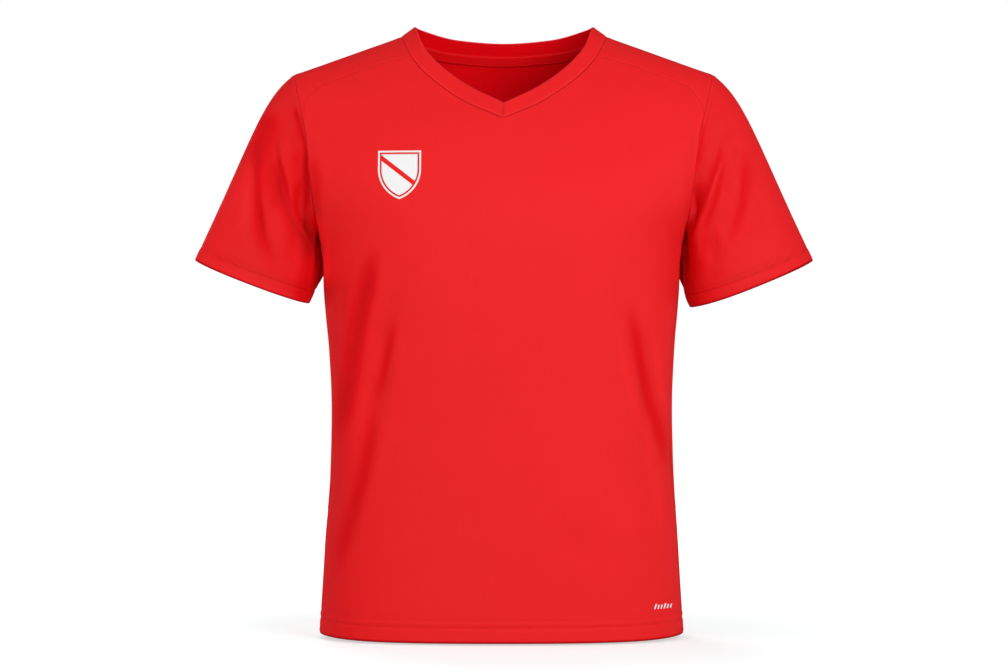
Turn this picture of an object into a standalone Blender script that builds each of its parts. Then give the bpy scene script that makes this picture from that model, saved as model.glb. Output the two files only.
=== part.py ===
"""A short-sleeved sports shirt with a V neck, filled out as if somebody wore it, in metres with +Z up.

The front of the shirt faces -Y and the wearer's left is +X. The origin is between the two neck
points of the shoulders, where the collar seam crosses the top of each shoulder, and the shirt hangs below.
Every cut piece is a wall of cloth: a grid laid on the garment's form and thickened inwards.
"""

import math
from collections import namedtuple
from itertools import permutations

import bmesh
import bpy
import numpy as np
from mathutils import Vector
from mathutils.bvhtree import BVHTree
from mathutils.kdtree import KDTree

# Driving sizes
CLOTH = 0.0012  # knitted cloth, one layer
BAND = 0.0020  # collar rib, folded double
TAPE = 0.0010
TAPE_WIDTH = 0.0105
PRINT = 0.0006
SEAM_GAP = 0.0003
HEM = -0.679  # height of the bottom edge at the centre
HEM_RISE = 0.004  # it is this much higher at the side seams
ARMPIT = -0.235  # height where side seam, armhole and sleeve seam meet
SQUARE = 2.4  # 2 gives an oval body section, more makes it boxier
BODY_LEAN = -0.0028  # the hanging body leans this far towards the wearer's right

# Form of the torso at each height. Above the armpit the half width is that of the whole form,
# which the armhole cuts into.
Section = namedtuple("Section", "height half_width front back")
TORSO = [
    Section(0.000, 0.2750, 0.1040, 0.1080),
    Section(-0.060, 0.2750, 0.1045, 0.1100),
    Section(-0.114, 0.2620, 0.1110, 0.1150),
    Section(-0.154, 0.2450, 0.1170, 0.1170),
    Section(-0.190, 0.2260, 0.1200, 0.1170),
    Section(-0.235, 0.2025, 0.1215, 0.1150),
    Section(-0.290, 0.2012, 0.1215, 0.1110),
    Section(-0.360, 0.1975, 0.1185, 0.1060),
    Section(-0.425, 0.1955, 0.1160, 0.1040),
    Section(-0.500, 0.1960, 0.1155, 0.1070),
    Section(-0.580, 0.2000, 0.1170, 0.1130),
    Section(-0.680, 0.2060, 0.1190, 0.1190),
]

# Top of the shoulder, from the neck point out to the tip where the sleeve starts
NECK_X = 0.1168
TIP_X = 0.2368
TIP_Z = -0.0437
RIDGE_SLOPE = TIP_Z / (TIP_X - NECK_X)
RIDGE_BACK = 0.012  # the neck point lies this far behind the middle, the tip on it
FRONT_ROUND = 1.8  # how the front falls from the shoulder, 1 straight and 2 round
BACK_ROUND = 2.2
FALL_SPACING = 1.7  # spaces the rows over the shoulder evenly along its round top

# Armhole seam seen from the front and from behind
Armhole = namedtuple("Armhole", "height front_x back_x")
ARMHOLE = [
    Armhole(ARMPIT, 0.2025, 0.2025),
    Armhole(-0.220, 0.2068, 0.2080),
    Armhole(-0.190, 0.2110, 0.2140),
    Armhole(-0.1535, 0.2158, 0.2190),
    Armhole(-0.114, 0.2208, 0.2235),
    Armhole(-0.085, 0.2275, 0.2290),
    Armhole(TIP_Z, TIP_X, TIP_X),
]

# The collar band from the centre front, over the shoulder, to the centre back: its seam, its free
# edge, and how far the edge lies behind the seam
Neck = namedtuple("Neck", "seam_x seam_z edge_x edge_z setback")
NECK = [
    Neck(0.0000, -0.0975, 0.0000, -0.0794, 0.0090),
    Neck(0.0422, -0.0791, 0.0320, -0.0640, 0.0090),
    Neck(0.0668, -0.0628, 0.0555, -0.0488, 0.0090),
    Neck(0.0865, -0.0469, 0.0743, -0.0328, 0.0080),
    Neck(0.1047, -0.0250, 0.0906, -0.0130, 0.0055),
    Neck(NECK_X, 0.0000, 0.1005, 0.0120, 0.0010),
    Neck(0.0980, -0.0069, 0.0858, 0.0078, -0.0050),
    Neck(0.0620, -0.0155, 0.0552, 0.0007, -0.0072),
    Neck(0.0000, -0.0195, 0.0000, -0.0032, -0.0080),
    Neck(-0.0620, -0.0155, -0.0552, 0.0007, -0.0072),  # past the centre, so that the band is smooth there
]
FRONT_CORNER = 4  # row of NECK where the shoulder insert starts
RIDGE_ROW = 5  # its row on top of the shoulder
BACK_CORNER = 6
CENTRE_BACK = 8

# Shoulder insert: a strip over the shoulder whose two seams turn down beside the armhole
Insert = namedtuple("Insert", "below_ridge turn junction")
INSERT_FRONT = Insert(0.0255, 20, -0.093)
INSERT_BACK = Insert(0.0260, 20, -0.093)

# Sleeve
Cuff = namedtuple("Cuff", "top_x top_z under_x under_z")
CUFFS = {-1: Cuff(0.3493, -0.2535, 0.2204, -0.3030), 1: Cuff(0.3493, -0.2540, 0.2170, -0.3075)}
CUFF_HALF_DEPTH = 0.056
CUFF_FORWARD = 0.008  # the arm hangs slightly forward
CUFF_BOW = 0.004  # the cuff dips this far at its front
CUFF_SQUARE = 2.2
SEAM_DIP = 0.34  # how much the sleeve sinks towards the arm beside its seam
# How a line down the sleeve leaves the armhole and arrives at the cuff: its way outwards and upwards,
# and the share of its length over which it holds that way
Run = namedtuple("Run", "leave_out leave_up leave_pull arrive_out arrive_up arrive_pull")
UNDER_ARM = Run(0.10, -0.97, 0.45, 0.480, -0.88, 0.33)
OVER_ARM = Run(0.85, -0.60, 0.20, 0.425, -0.88, 0.60)

# Soft folds of the body: a line over the cloth from top to bottom. girth is measured along the
# cloth from the centre front, positive to the wearer's left. Depth is negative for a trough.
Fold = namedtuple("Fold", "girth_top height_top girth_bottom height_bottom half_width depth")
FOLDS = [
    Fold(-0.118, -0.250, -0.168, -0.520, 0.034, -0.0075),
    Fold(-0.158, -0.240, -0.205, -0.470, 0.030, 0.0050),
    Fold(0.142, -0.255, 0.205, -0.530, 0.034, -0.0060),
    Fold(0.108, -0.235, 0.168, -0.520, 0.030, 0.0040),
    Fold(0.250, -0.260, 0.236, -0.560, 0.036, -0.0070),
    Fold(-0.252, -0.270, -0.240, -0.580, 0.036, -0.0070),
    Fold(0.330, -0.300, 0.395, -0.600, 0.040, -0.0080),
    Fold(-0.335, -0.290, -0.405, -0.590, 0.040, -0.0080),
]
# Folds of a sleeve, in degrees round the cuff from its underside forwards, and in share of its length
SleeveFold = namedtuple("SleeveFold", "turn_top share_top turn_bottom share_bottom half_turn depth")
SLEEVE_FOLDS = [
    SleeveFold(70, 0.20, 52, 0.85, 14, -0.0050),
    SleeveFold(98, 0.25, 78, 0.90, 15, 0.0040),
    SleeveFold(126, 0.28, 106, 0.88, 15, -0.0040),
    SleeveFold(292, 0.20, 308, 0.85, 16, -0.0055),
    SleeveFold(250, 0.25, 268, 0.85, 18, -0.0045),
]

# Generic white print on the wearer's right chest, and a small one above the hem
CHEST_PRINT = {"x": -0.1155, "z": -0.1620, "width": 0.048, "height": 0.054}
HEM_PRINT = {"x": 0.1770, "z": -0.6410, "width": 0.021, "height": 0.006}
PRINT_CELLS = 8

# Tolerances of the seams
SAME_POINT = 0.00001  # panel points closer than this are one point of a seam
SHARP_CORNER = 0.05  # keeps the clearance at a panel's sharpest corners from running away
TAPE_LIFT = 0.0003
PRINT_LIFT = 0.0005

# Grid of each piece, in cells
NECK_CELLS = 6  # half the front or back neckline
SHOULDER_CELLS = 8  # along the insert's seam
INSERT_CELLS = 8  # across the insert
HALF_CELLS = NECK_CELLS + SHOULDER_CELLS
SKIRT_CELLS = 16  # from hem to armpit
CHEST_CELLS = 8  # from armpit to the top seam
SLEEVE_CELLS = 10
SIDE_CROWDING = 0.10  # crowds the body's columns towards the side seam
SAMPLES = 181  # points that a curve is measured with

COLLECTION = "Sports shirt"
RED_KNIT = ((0.82, 0.022, 0.026, 1.0), 0.62)  # colour and roughness
WHITE_PRINT = ((0.88, 0.88, 0.88, 1.0), 0.45)


def smooth_table(x, xs, ys):
    """A smooth line through the points of a table that doesn't overshoot them."""
    order = np.argsort(xs)
    xs, ys = np.asarray(xs, float)[order], np.asarray(ys, float)[order]
    slope = np.diff(ys) / np.diff(xs)
    inner = np.where(
        slope[:-1] * slope[1:] > 0,
        2 * slope[:-1] * slope[1:] / (slope[:-1] + slope[1:] + 1e-12),
        0.0,
    )
    tangent = np.concatenate([[slope[0]], inner, [slope[-1]]])
    x = np.clip(x, xs[0], xs[-1])
    i = np.clip(np.searchsorted(xs, x) - 1, 0, len(xs) - 2)
    step = xs[i + 1] - xs[i]
    t = (x - xs[i]) / step
    return (
        (2 * t**3 - 3 * t**2 + 1) * ys[i]
        + (t**3 - 2 * t**2 + t) * step * tangent[i]
        + (3 * t**2 - 2 * t**3) * ys[i + 1]
        + (t**3 - t**2) * step * tangent[i + 1]
    )


def column(rows, name):
    return [getattr(row, name) for row in rows]


def torso_at(height, name):
    return smooth_table(height, column(TORSO, "height"), column(TORSO, name))


def ridge(x):
    """Height of the top of the shoulder at x, carried on over the neck as an arch."""
    arch = (x**2 - NECK_X**2) / (2 * NECK_X)
    return RIDGE_SLOPE * np.where(abs(x) < NECK_X, arch, abs(x) - NECK_X)


def form(turn, height, side, back):
    """A point of the garment's form. turn is 0 at the centre front or back and a quarter at the side."""
    half_width = torso_at(height, "half_width")
    depth = torso_at(height, "back" if back else "front")
    x = half_width * math.sin(turn) ** (2 / SQUARE)
    across = depth * max(math.cos(turn), 0.0) ** (2 / SQUARE)
    fallen = np.clip((ridge(x) - height) / (ridge(x) - ARMPIT), 0.0, 1.0)
    roundness = BACK_ROUND if back else FRONT_ROUND
    fullness = (1 - (1 - fallen) ** roundness) ** (1 / roundness)
    ridge_y = RIDGE_BACK * np.clip((TIP_X - x) / (TIP_X - NECK_X), 0.0, 1.0)
    y = ridge_y * (1 - fullness) + (across if back else -across) * fullness
    return np.array([side * x, y, height])


def turn_at(x, height):
    """The turn that puts the form at x."""
    share = min(x / torso_at(height, "half_width"), 1.0)
    return math.asin(share ** (SQUARE / 2))


def distances(points):
    """How far along a polyline each of its points is."""
    steps = np.linalg.norm(np.diff(np.asarray(points, float), axis=0), axis=1)
    return np.concatenate([[0], np.cumsum(steps)])


def evenly(points, cells, parameters):
    """The parameters of points that cut a polyline into equal cells, from those of its own points."""
    along = distances(points)
    at = np.linspace(0, along[-1], cells + 1)
    columns = np.asarray(parameters, float).reshape(len(along), -1).T
    return np.stack([np.interp(at, along, values) for values in columns], axis=1)


def even_turns():
    """Turns from centre to side seam that space the body's columns, closer together near the side."""
    turns = np.linspace(0, math.pi / 2, SAMPLES)
    along = distances([form(turn, ARMPIT, 1, False) for turn in turns])
    share = np.linspace(0, 1, HALF_CELLS + 1)
    share = share + SIDE_CROWDING * np.sin(math.pi * share)
    return np.interp(share * along[-1], along, turns)


def armhole_x(height, back):
    return smooth_table(height, column(ARMHOLE, "height"), column(ARMHOLE, "back_x" if back else "front_x"))


def armhole_line(back):
    """(turn, height) pairs up the armhole: those beside the panel, and those beside the insert."""
    junction = (INSERT_BACK if back else INSERT_FRONT).junction
    parts = []
    for low, high, cells in ((ARMPIT, junction, CHEST_CELLS), (junction, TIP_Z, INSERT_CELLS // 2)):
        heights = low + (high - low) * (1 - np.cos(np.linspace(0, math.pi, SAMPLES))) / 2
        pairs = [(turn_at(armhole_x(z, back), z), z) for z in heights]
        points = [form(turn, z, 1, back) for turn, z in pairs]
        parts.append(evenly(points, cells, pairs))
    return parts


def neck_at(row, name):
    return smooth_table(row, range(len(NECK)), column(NECK, name))


def neck_pair(row):
    x, z = neck_at(row, "seam_x"), neck_at(row, "seam_z")
    return turn_at(x, z), z


def neck_steps(back):
    """Rows of NECK, with shares of a row, that space the seam evenly from the centre to the corner."""
    at = np.linspace(CENTRE_BACK if back else 0, BACK_CORNER if back else FRONT_CORNER, SAMPLES)
    points = [form(*neck_pair(row), 1, back) for row in at]
    return evenly(points, NECK_CELLS, at)[:, 0]


def insert_line(back):
    """(turn, height) pairs along the insert's seam from the neck to the armhole."""
    seam = INSERT_BACK if back else INSERT_FRONT
    start = NECK[BACK_CORNER if back else FRONT_CORNER]
    end_x = armhole_x(seam.junction, back)
    share = np.linspace(0, 1, SAMPLES)
    xs = start.seam_x + (end_x - start.seam_x) * share
    drop = ridge(end_x) - seam.junction - seam.below_ridge
    heights = ridge(xs) - seam.below_ridge - drop * share**seam.turn
    heights += (start.seam_z - heights[0]) * np.maximum(1 - 3 * share, 0)
    pairs = [(turn_at(x, z), z) for x, z in zip(xs, heights)]
    points = [form(turn, z, 1, back) for turn, z in pairs]
    return evenly(points, SHOULDER_CELLS, pairs)


def panel_pairs(back):
    """(turn, height) of each grid point of half the front or back, rows from the hem up."""
    turns = even_turns()
    rows = []
    for share in np.linspace(0, 1, SKIRT_CELLS + 1):
        hem = HEM + HEM_RISE * np.sin(turns) ** 6
        rows.append(np.stack([turns, hem + (ARMPIT - hem) * share], axis=1))
    neck = [neck_pair(row) for row in neck_steps(back)]
    top = np.concatenate([neck, insert_line(back)[1:]])
    side = armhole_line(back)[0]
    bottom = rows[-1]
    across = np.linspace(0, 1, HALF_CELLS + 1)[:, None] ** 2
    for end in side[1:]:
        straight = bottom + (top - bottom) * along_line(end[1], ARMPIT, top[-1][1])
        rows.append(straight + across * (end - straight[-1]))
    return rows


def bump(distance):
    """A soft hump of height 1 that is 0 from a distance of 1."""
    return np.cos(np.clip(abs(distance), 0, 1) * math.pi / 2) ** 2


def along_line(value, start, end):
    return (value - start) / (end - start)


def fold_depth(girth, height):
    total = 0.0
    for fold in FOLDS:
        share = along_line(height, fold.height_top, fold.height_bottom)
        centre = fold.girth_top + (fold.girth_bottom - fold.girth_top) * np.clip(share, 0, 1)
        total += fold.depth * bump(2 * share - 1) * bump((girth - centre) / fold.half_width)
    return total


def folded(point, girth, back):
    """The point moved in or out by the folds, level with the ground."""
    half_width = torso_at(point[2], "half_width")
    depth = torso_at(point[2], "back" if back else "front")
    outward = np.array([point[0] / half_width**2, point[1] / depth**2, 0.0])
    moved = point + outward / np.linalg.norm(outward) * fold_depth(girth, point[2])
    moved[0] += BODY_LEAN * np.clip(point[2] / ARMPIT, 0.0, 1.0)
    return moved


def half_ring(pairs, back):
    """Half a row of the body before it is folded, and its distances from the centre along the cloth."""
    line = np.array([form(turn, z, 1, back) for turn, z in pairs])
    return line, distances(line)


def panel_rows(back):
    """Points of the whole front or back, from the wearer's right to the left, rows from the hem up."""
    rows = []
    for pairs, front_pairs in zip(panel_pairs(back), panel_pairs(False)):
        line, girth = half_ring(pairs, back)
        if back:
            girth = half_ring(front_pairs, False)[1][-1] + girth[-1] - girth
        halves = {}
        for side in (-1, 1):
            halves[side] = [folded(p * (side, 1, 1), side * g, back) for p, g in zip(line, girth)]
        rows.append(halves[-1][::-1] + halves[1][1:])
    return rows


def on_body(pairs, side, back):
    """Points of the body, in the part of it that has no folds."""
    return np.array([folded(form(turn, z, side, back), 0.0, back) for turn, z in pairs])


def over_shoulder(x, height, back):
    """x, and a measure of how far the cloth has gone over the shoulder, positive in front."""
    fall = max(ridge(x) - height, 0.0) ** (1 / FALL_SPACING)
    return np.array([x, -fall if back else fall])


def pairs_over_shoulder(pairs, back):
    points = [form(turn, z, 1, back) for turn, z in pairs]
    return [over_shoulder(point[0], point[2], back) for point in points]


def insert_rows(side):
    """Points of a shoulder insert, rows from the front seam over the shoulder to the back seam."""
    first, last = [], pairs_over_shoulder(armhole_line(False)[1], False)
    last += pairs_over_shoulder(armhole_line(True)[1], True)[::-1][1:]
    for row in np.linspace(FRONT_CORNER, BACK_CORNER, INSERT_CELLS + 1):
        first.append(over_shoulder(neck_at(row, "seam_x"), neck_at(row, "seam_z"), row > RIDGE_ROW))
    start = pairs_over_shoulder(insert_line(False), False)
    end = pairs_over_shoulder(insert_line(True), True)
    rows = []
    for line in blended(*(np.array(edge) for edge in (start, end, first, last))):
        row = []
        for x, fall in line:
            height = ridge(x) - abs(fall) ** FALL_SPACING
            row.append(folded(form(turn_at(x, height), height, side, fall < 0), 0.0, fall < 0))
        rows.append(row)
    return rows


def blended(start, end, first, last):
    """A grid between four edges: start and end run along its rows, first and last across them."""
    v = np.linspace(0, 1, len(first))[:, None, None]
    u = np.linspace(0, 1, len(start))[None, :, None]
    between = (1 - v) * start[None] + v * end[None] + (1 - u) * first[:, None] + u * last[:, None]
    corners = (1 - v) * ((1 - u) * start[0] + u * start[-1]) + v * ((1 - u) * end[0] + u * end[-1])
    return between - corners


def neck_point(row, side):
    """A point of the collar seam."""
    back = row > RIDGE_ROW
    return folded(form(*neck_pair(row), side, back), 0.0, back)


def collar_rows():
    """The collar band as a closed ring, rows from the seam to the free edge."""
    over = np.linspace(FRONT_CORNER, BACK_CORNER, INSERT_CELLS + 1)
    steps = np.concatenate([neck_steps(False), over[1:], neck_steps(True)[::-1][1:]])
    ring = [(row, 1) for row in steps] + [(row, -1) for row in steps[::-1][1:-1]]
    seam = np.array([neck_point(row, side) for row, side in ring])
    edge = []
    for (row, side), point in zip(ring, seam):
        x, y, z = neck_at(row, "edge_x"), point[1] + neck_at(row, "setback"), neck_at(row, "edge_z")
        edge.append((side * x, y, z))
    return [seam, (seam + np.array(edge)) / 2, edge]


def unit(vector):
    return np.asarray(vector, float) / np.linalg.norm(vector)


def cuff_point(turn, side):
    """A point of the sleeve's edge. turn is 0 at the underside and a quarter at the front."""
    cuff = CUFFS[side]
    top = np.array([cuff.top_x, 0, cuff.top_z])
    under = np.array([cuff.under_x, 0, cuff.under_z])
    middle, half = (top + under) / 2, (top - under) / 2
    arm = unit([half[2], 0, -half[0]])
    up = -math.copysign(abs(math.cos(turn)) ** (2 / CUFF_SQUARE), math.cos(turn))
    forward = math.copysign(abs(math.sin(turn)) ** (2 / CUFF_SQUARE), math.sin(turn))
    point = middle + half * up + arm * CUFF_BOW * max(math.sin(turn), 0.0)
    point[1] = -CUFF_HALF_DEPTH * forward - CUFF_FORWARD
    return point * (side, 1, 1)


def sleeve_rows(side):
    """The sleeve as closed rings from the armhole to the cuff, one point for each point of the armhole."""
    loop, turns = [], []
    for back in (False, True):
        line = on_body(np.concatenate([armhole_line(back)[0], armhole_line(back)[1][1:]]), side, back)
        turn = math.pi * distances(line) / distances(line)[-1]
        loop += list(line[::-1][1:-1] if back else line)
        turns += list((2 * math.pi - turn)[::-1][1:-1] if back else turn)
    columns = [sleeve_column(start, turn, side) for start, turn in zip(loop, turns)]
    return np.array(columns).transpose(1, 0, 2)


def sleeve_column(start, turn, side):
    """A soft line down the sleeve from a point of the armhole to the cuff."""
    end = cuff_point(turn, side)
    high = (1 - math.cos(turn)) / 2  # 0 under the arm, 1 on top
    line = Run(*(np.array(UNDER_ARM) * (1 - high) + np.array(OVER_ARM) * high))
    dip = SEAM_DIP * math.sin(turn) * min(2 * high, 1)
    chord = np.linalg.norm(end - start)
    first = start + unit([side * line.leave_out, dip, line.leave_up]) * chord * line.leave_pull
    second = end - unit([side * line.arrive_out, 0, line.arrive_up]) * chord * line.arrive_pull
    points = []
    for t in np.linspace(0, 1, SLEEVE_CELLS + 1):
        point = (1 - t) ** 3 * start + 3 * (1 - t) ** 2 * t * first + 3 * (1 - t) * t**2 * second + t**3 * end
        points.append(sleeve_folded(point, turn, t, side))
    return points


def sleeve_folded(point, angle, share, side):
    """The point moved in or out by the sleeve's folds."""
    depth = 0.0
    for fold in SLEEVE_FOLDS:
        down = along_line(share, fold.share_top, fold.share_bottom)
        centre = fold.turn_top + (fold.turn_bottom - fold.turn_top) * np.clip(down, 0, 1)
        depth += fold.depth * bump(2 * down - 1) * bump((math.degrees(angle) - centre) / fold.half_turn)
    cuff = CUFFS[side]
    up = unit([side * (cuff.top_x - cuff.under_x), cuff.top_z - cuff.under_z])
    outward = np.array([-math.cos(angle) * up[0], -math.sin(angle), -math.cos(angle) * up[1]])
    return point + outward * depth


def make_sheet(rows, closed=False):
    """One layer of cloth through rows of points, closed if the rows are rings. It faces outwards."""
    sheet = bmesh.new()
    verts = [[sheet.verts.new(point) for point in row] for row in rows]
    for low, high in zip(verts, verts[1:]):
        for i in range(len(low) if closed else len(low) - 1):
            j = (i + 1) % len(low)
            sheet.faces.new((low[i], low[j], high[j], high[i]))
    bmesh.ops.triangulate(sheet, faces=sheet.faces, quad_method="SHORT_EDGE")
    sheet.normal_update()
    middle = sum((vert.co for vert in sheet.verts), Vector()) / len(sheet.verts)
    if sum(face.normal.dot(face.calc_center_median() - middle) for face in sheet.faces) < 0:
        bmesh.ops.reverse_faces(sheet, faces=sheet.faces)
        sheet.normal_update()
    return sheet


def into_cloth(vert):
    """The way from an edge vertex over its own cloth, square to the seam, longer at a corner."""
    aside = Vector()
    for edge in (e for e in vert.link_edges if e.is_boundary):
        along = (edge.verts[1].co - edge.verts[0].co).normalized()
        inward = edge.link_faces[0].calc_center_median() - vert.co
        aside += (inward - along * inward.dot(along)).normalized()
    return aside / max(aside.length_squared / 2, SHARP_CORNER)


def rim_directions(sheets):
    """The direction of each sheet's rim at its edge vertices: a mitre where a seam is a ridge."""
    edges = [(sheet, vert) for sheet in sheets for vert in sheet.verts if vert.is_boundary]
    tree = KDTree(len(edges))
    for i, (_, vert) in enumerate(edges):
        tree.insert(vert.co, i)
    tree.balance()
    directions = {}
    for sheet, vert in edges:
        meeting = [edges[i][1] for _, i, _ in tree.find_range(vert.co, SAME_POINT)]
        shared = sum((other.normal for other in meeting), Vector()).normalized()
        rise = sum(into_cloth(a).dot(b.normal) for a, b in permutations(meeting, 2))
        directions[vert] = vert.normal.copy() if rise > 0 else shared / shared.dot(vert.normal)
    return directions


def thicken(sheet, thickness, directions={}):
    """Gives the sheet its wall, on its inner side, with rims that run in the given directions."""
    offsets = [-thickness * directions.get(vert, vert.normal) for vert in sheet.verts]
    inward = sheet.verts.layers.float_vector.new("inward")
    for vert, offset in zip(sheet.verts, offsets):
        vert[inward] = offset
    moves = {vert: into_cloth(vert) * SEAM_GAP / 2 for vert in sheet.verts if vert.is_boundary}
    for vert, move in moves.items():
        vert.co += move
    grown = bmesh.ops.extrude_face_region(sheet, geom=sheet.faces[:], use_keep_orig=True)["geom"]
    for vert in (v for v in grown if isinstance(v, bmesh.types.BMVert)):
        vert.co += vert[inward]
    bmesh.ops.triangulate(sheet, faces=sheet.faces, quad_method="SHORT_EDGE")
    bmesh.ops.recalc_face_normals(sheet, faces=sheet.faces)


def make_object(name, wall, material):
    mesh = bpy.data.meshes.new(name)
    wall.to_mesh(mesh)
    mesh.materials.append(material)
    mesh.shade_smooth()
    mesh.set_sharp_from_angle(angle=math.radians(60))
    obj = bpy.data.objects.new(name, mesh)
    bpy.data.collections[COLLECTION].objects.link(obj)


def make_material(name, colour, roughness):
    material = bpy.data.materials.new(name)
    material.use_nodes = True
    shader = material.node_tree.nodes["Principled BSDF"]
    shader.inputs["Base Color"].default_value = colour
    shader.inputs["Roughness"].default_value = roughness
    return material


def tape_sheet(back_rows):
    """The neck tape: a strip of the back below its neck seam, moved inside the cloth."""
    middle = len(back_rows[-1]) // 2
    reach = slice(middle - NECK_CELLS, middle + NECK_CELLS + 1)
    top, below = np.array(back_rows[-1][reach]), np.array(back_rows[-2][reach])
    down = (below - top) / np.linalg.norm(below - top, axis=1)[:, None]
    sheet = make_sheet([top + down * SEAM_GAP, top + down * TAPE_WIDTH])
    for vert in sheet.verts:
        vert.co -= vert.normal * (CLOTH + SEAM_GAP + TAPE_LIFT)
    sheet.normal_update()
    return sheet


def print_sheet(panel, place, outline):
    """A print on the front: a square grid shaped by its outline, laid on the panel and moved out."""
    surface = BVHTree.FromBMesh(panel)
    sheet = bmesh.new()
    bmesh.ops.create_grid(sheet, x_segments=PRINT_CELLS, y_segments=PRINT_CELLS, size=1)
    for vert in sheet.verts:
        across, up = outline(vert.co.x, vert.co.y)
        x = place["x"] + across * place["width"] / 2
        z = place["z"] + up * place["height"] / 2
        spot, normal, _, _ = surface.ray_cast(Vector((x, -1, z)), Vector((0, 1, 0)))
        vert.co = spot + normal * (PRINT_LIFT + PRINT)
    sheet.normal_update()
    return sheet


def shield(across, up):
    """Turns a square from -1 to 1 into a plain shield with a pointed foot."""
    fall = (1 - up) / 2
    return across * (1 - 0.97 * fall**2.4), up


def oblong(across, up):
    return across, up


def build():
    for obj in list(bpy.data.objects):
        bpy.data.objects.remove(obj)
    collection = bpy.data.collections.new(COLLECTION)
    bpy.context.scene.collection.children.link(collection)
    back_rows = panel_rows(True)
    sheets = {
        "front": make_sheet(panel_rows(False)),
        "back": make_sheet(back_rows),
        "shoulder_right": make_sheet(insert_rows(-1)),
        "shoulder_left": make_sheet(insert_rows(1)),
        "sleeve_right": make_sheet(sleeve_rows(-1), closed=True),
        "sleeve_left": make_sheet(sleeve_rows(1), closed=True),
        "collar": make_sheet(collar_rows(), closed=True),
    }
    prints = {
        "chest_print": print_sheet(sheets["front"], CHEST_PRINT, shield),
        "hem_print": print_sheet(sheets["front"], HEM_PRINT, oblong),
    }
    tape = tape_sheet(back_rows)
    directions = rim_directions(list(sheets.values()))
    for name, sheet in sheets.items():
        thicken(sheet, BAND if name == "collar" else CLOTH, directions)
        make_object(name, sheet, make_material("Red knit " + name, *RED_KNIT))
    for name, sheet in prints.items():
        thicken(sheet, PRINT)
        make_object(name, sheet, make_material("White print " + name, *WHITE_PRINT))
    thicken(tape, TAPE)
    make_object("neck_tape", tape, make_material("Red tape", *RED_KNIT))


build()
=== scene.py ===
import math

import bmesh
import bpy
import numpy as np
from mathutils import Matrix, Vector
from mathutils.bvhtree import BVHTree
from mathutils.kdtree import KDTree


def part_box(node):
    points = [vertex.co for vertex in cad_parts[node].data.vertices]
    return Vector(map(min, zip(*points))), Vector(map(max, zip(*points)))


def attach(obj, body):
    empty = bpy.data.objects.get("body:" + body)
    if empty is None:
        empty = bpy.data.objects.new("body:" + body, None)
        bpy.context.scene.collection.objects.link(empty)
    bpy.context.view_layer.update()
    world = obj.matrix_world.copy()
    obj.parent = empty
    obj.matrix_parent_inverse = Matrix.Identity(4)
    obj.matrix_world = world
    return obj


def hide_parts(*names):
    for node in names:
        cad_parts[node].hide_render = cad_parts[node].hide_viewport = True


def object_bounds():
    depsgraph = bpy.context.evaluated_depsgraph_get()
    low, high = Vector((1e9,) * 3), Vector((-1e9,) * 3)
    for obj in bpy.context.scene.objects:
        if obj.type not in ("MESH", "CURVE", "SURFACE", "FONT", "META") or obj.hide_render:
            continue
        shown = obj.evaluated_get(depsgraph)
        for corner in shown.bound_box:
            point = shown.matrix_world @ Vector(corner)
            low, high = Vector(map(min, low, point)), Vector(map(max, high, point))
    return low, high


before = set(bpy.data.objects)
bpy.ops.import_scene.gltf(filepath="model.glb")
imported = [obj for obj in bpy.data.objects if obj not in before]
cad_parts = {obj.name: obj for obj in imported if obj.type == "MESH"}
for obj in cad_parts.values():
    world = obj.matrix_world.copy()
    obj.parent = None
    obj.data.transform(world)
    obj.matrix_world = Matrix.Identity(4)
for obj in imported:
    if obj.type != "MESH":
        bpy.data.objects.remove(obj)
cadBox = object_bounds()
mm = 0.001
print("frame loaded:", ", ".join(sorted(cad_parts)))


# Reading the cut pieces from the frame. In millimetres: how close points are one point, the longest edge that
# crosses a wall, and how far a hem reaches above its lowest point.
reading = {"merge": 0.01, "rim": 3.5, "hem": 6}


def outerSkin(name):
    # the outward side of a node's wall, as a bmesh of triangles
    skin = bmesh.new()
    skin.from_mesh(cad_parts[name].data)
    bmesh.ops.remove_doubles(skin, verts=skin.verts[:], dist=reading["merge"] * mm)
    rims = [f for f in skin.faces if min(e.calc_length() for e in f.edges) < reading["rim"] * mm]
    bmesh.ops.delete(skin, geom=rims, context="FACES")
    skin.normal_update()
    left, sides = set(skin.faces), []
    while left:
        side, reach = set(), [left.pop()]
        while reach:
            face = reach.pop()
            side.add(face)
            beside = {other for edge in face.edges for other in edge.link_faces} & left
            left -= beside
            reach += beside
        sides.append(side)
    middle = sum((vert.co for vert in skin.verts), Vector()) / len(skin.verts)

    def outwards(side):
        return sum(face.normal.dot(face.calc_center_median() - middle) for face in side)

    keep = max(sides, key=outwards)
    bmesh.ops.delete(skin, geom=[face for face in skin.faces if face not in keep], context="FACES")
    return skin


def edgeLoops(skin):
    # the skin's free edges as loops of vertices in order
    left, loops = {vert for vert in skin.verts if vert.is_boundary}, []
    while left:
        loop = [left.pop()]
        while True:
            ways = [e.other_vert(loop[-1]) for e in loop[-1].link_edges if e.is_boundary]
            ways = [vert for vert in ways if vert in left]
            if not ways:
                break
            loop.append(ways[0])
            left.discard(ways[0])
        loops.append(loop)
    return loops


def thirdVert(face, a, b):
    return next(vert for vert in face.verts if vert is not a and vert is not b)


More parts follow.
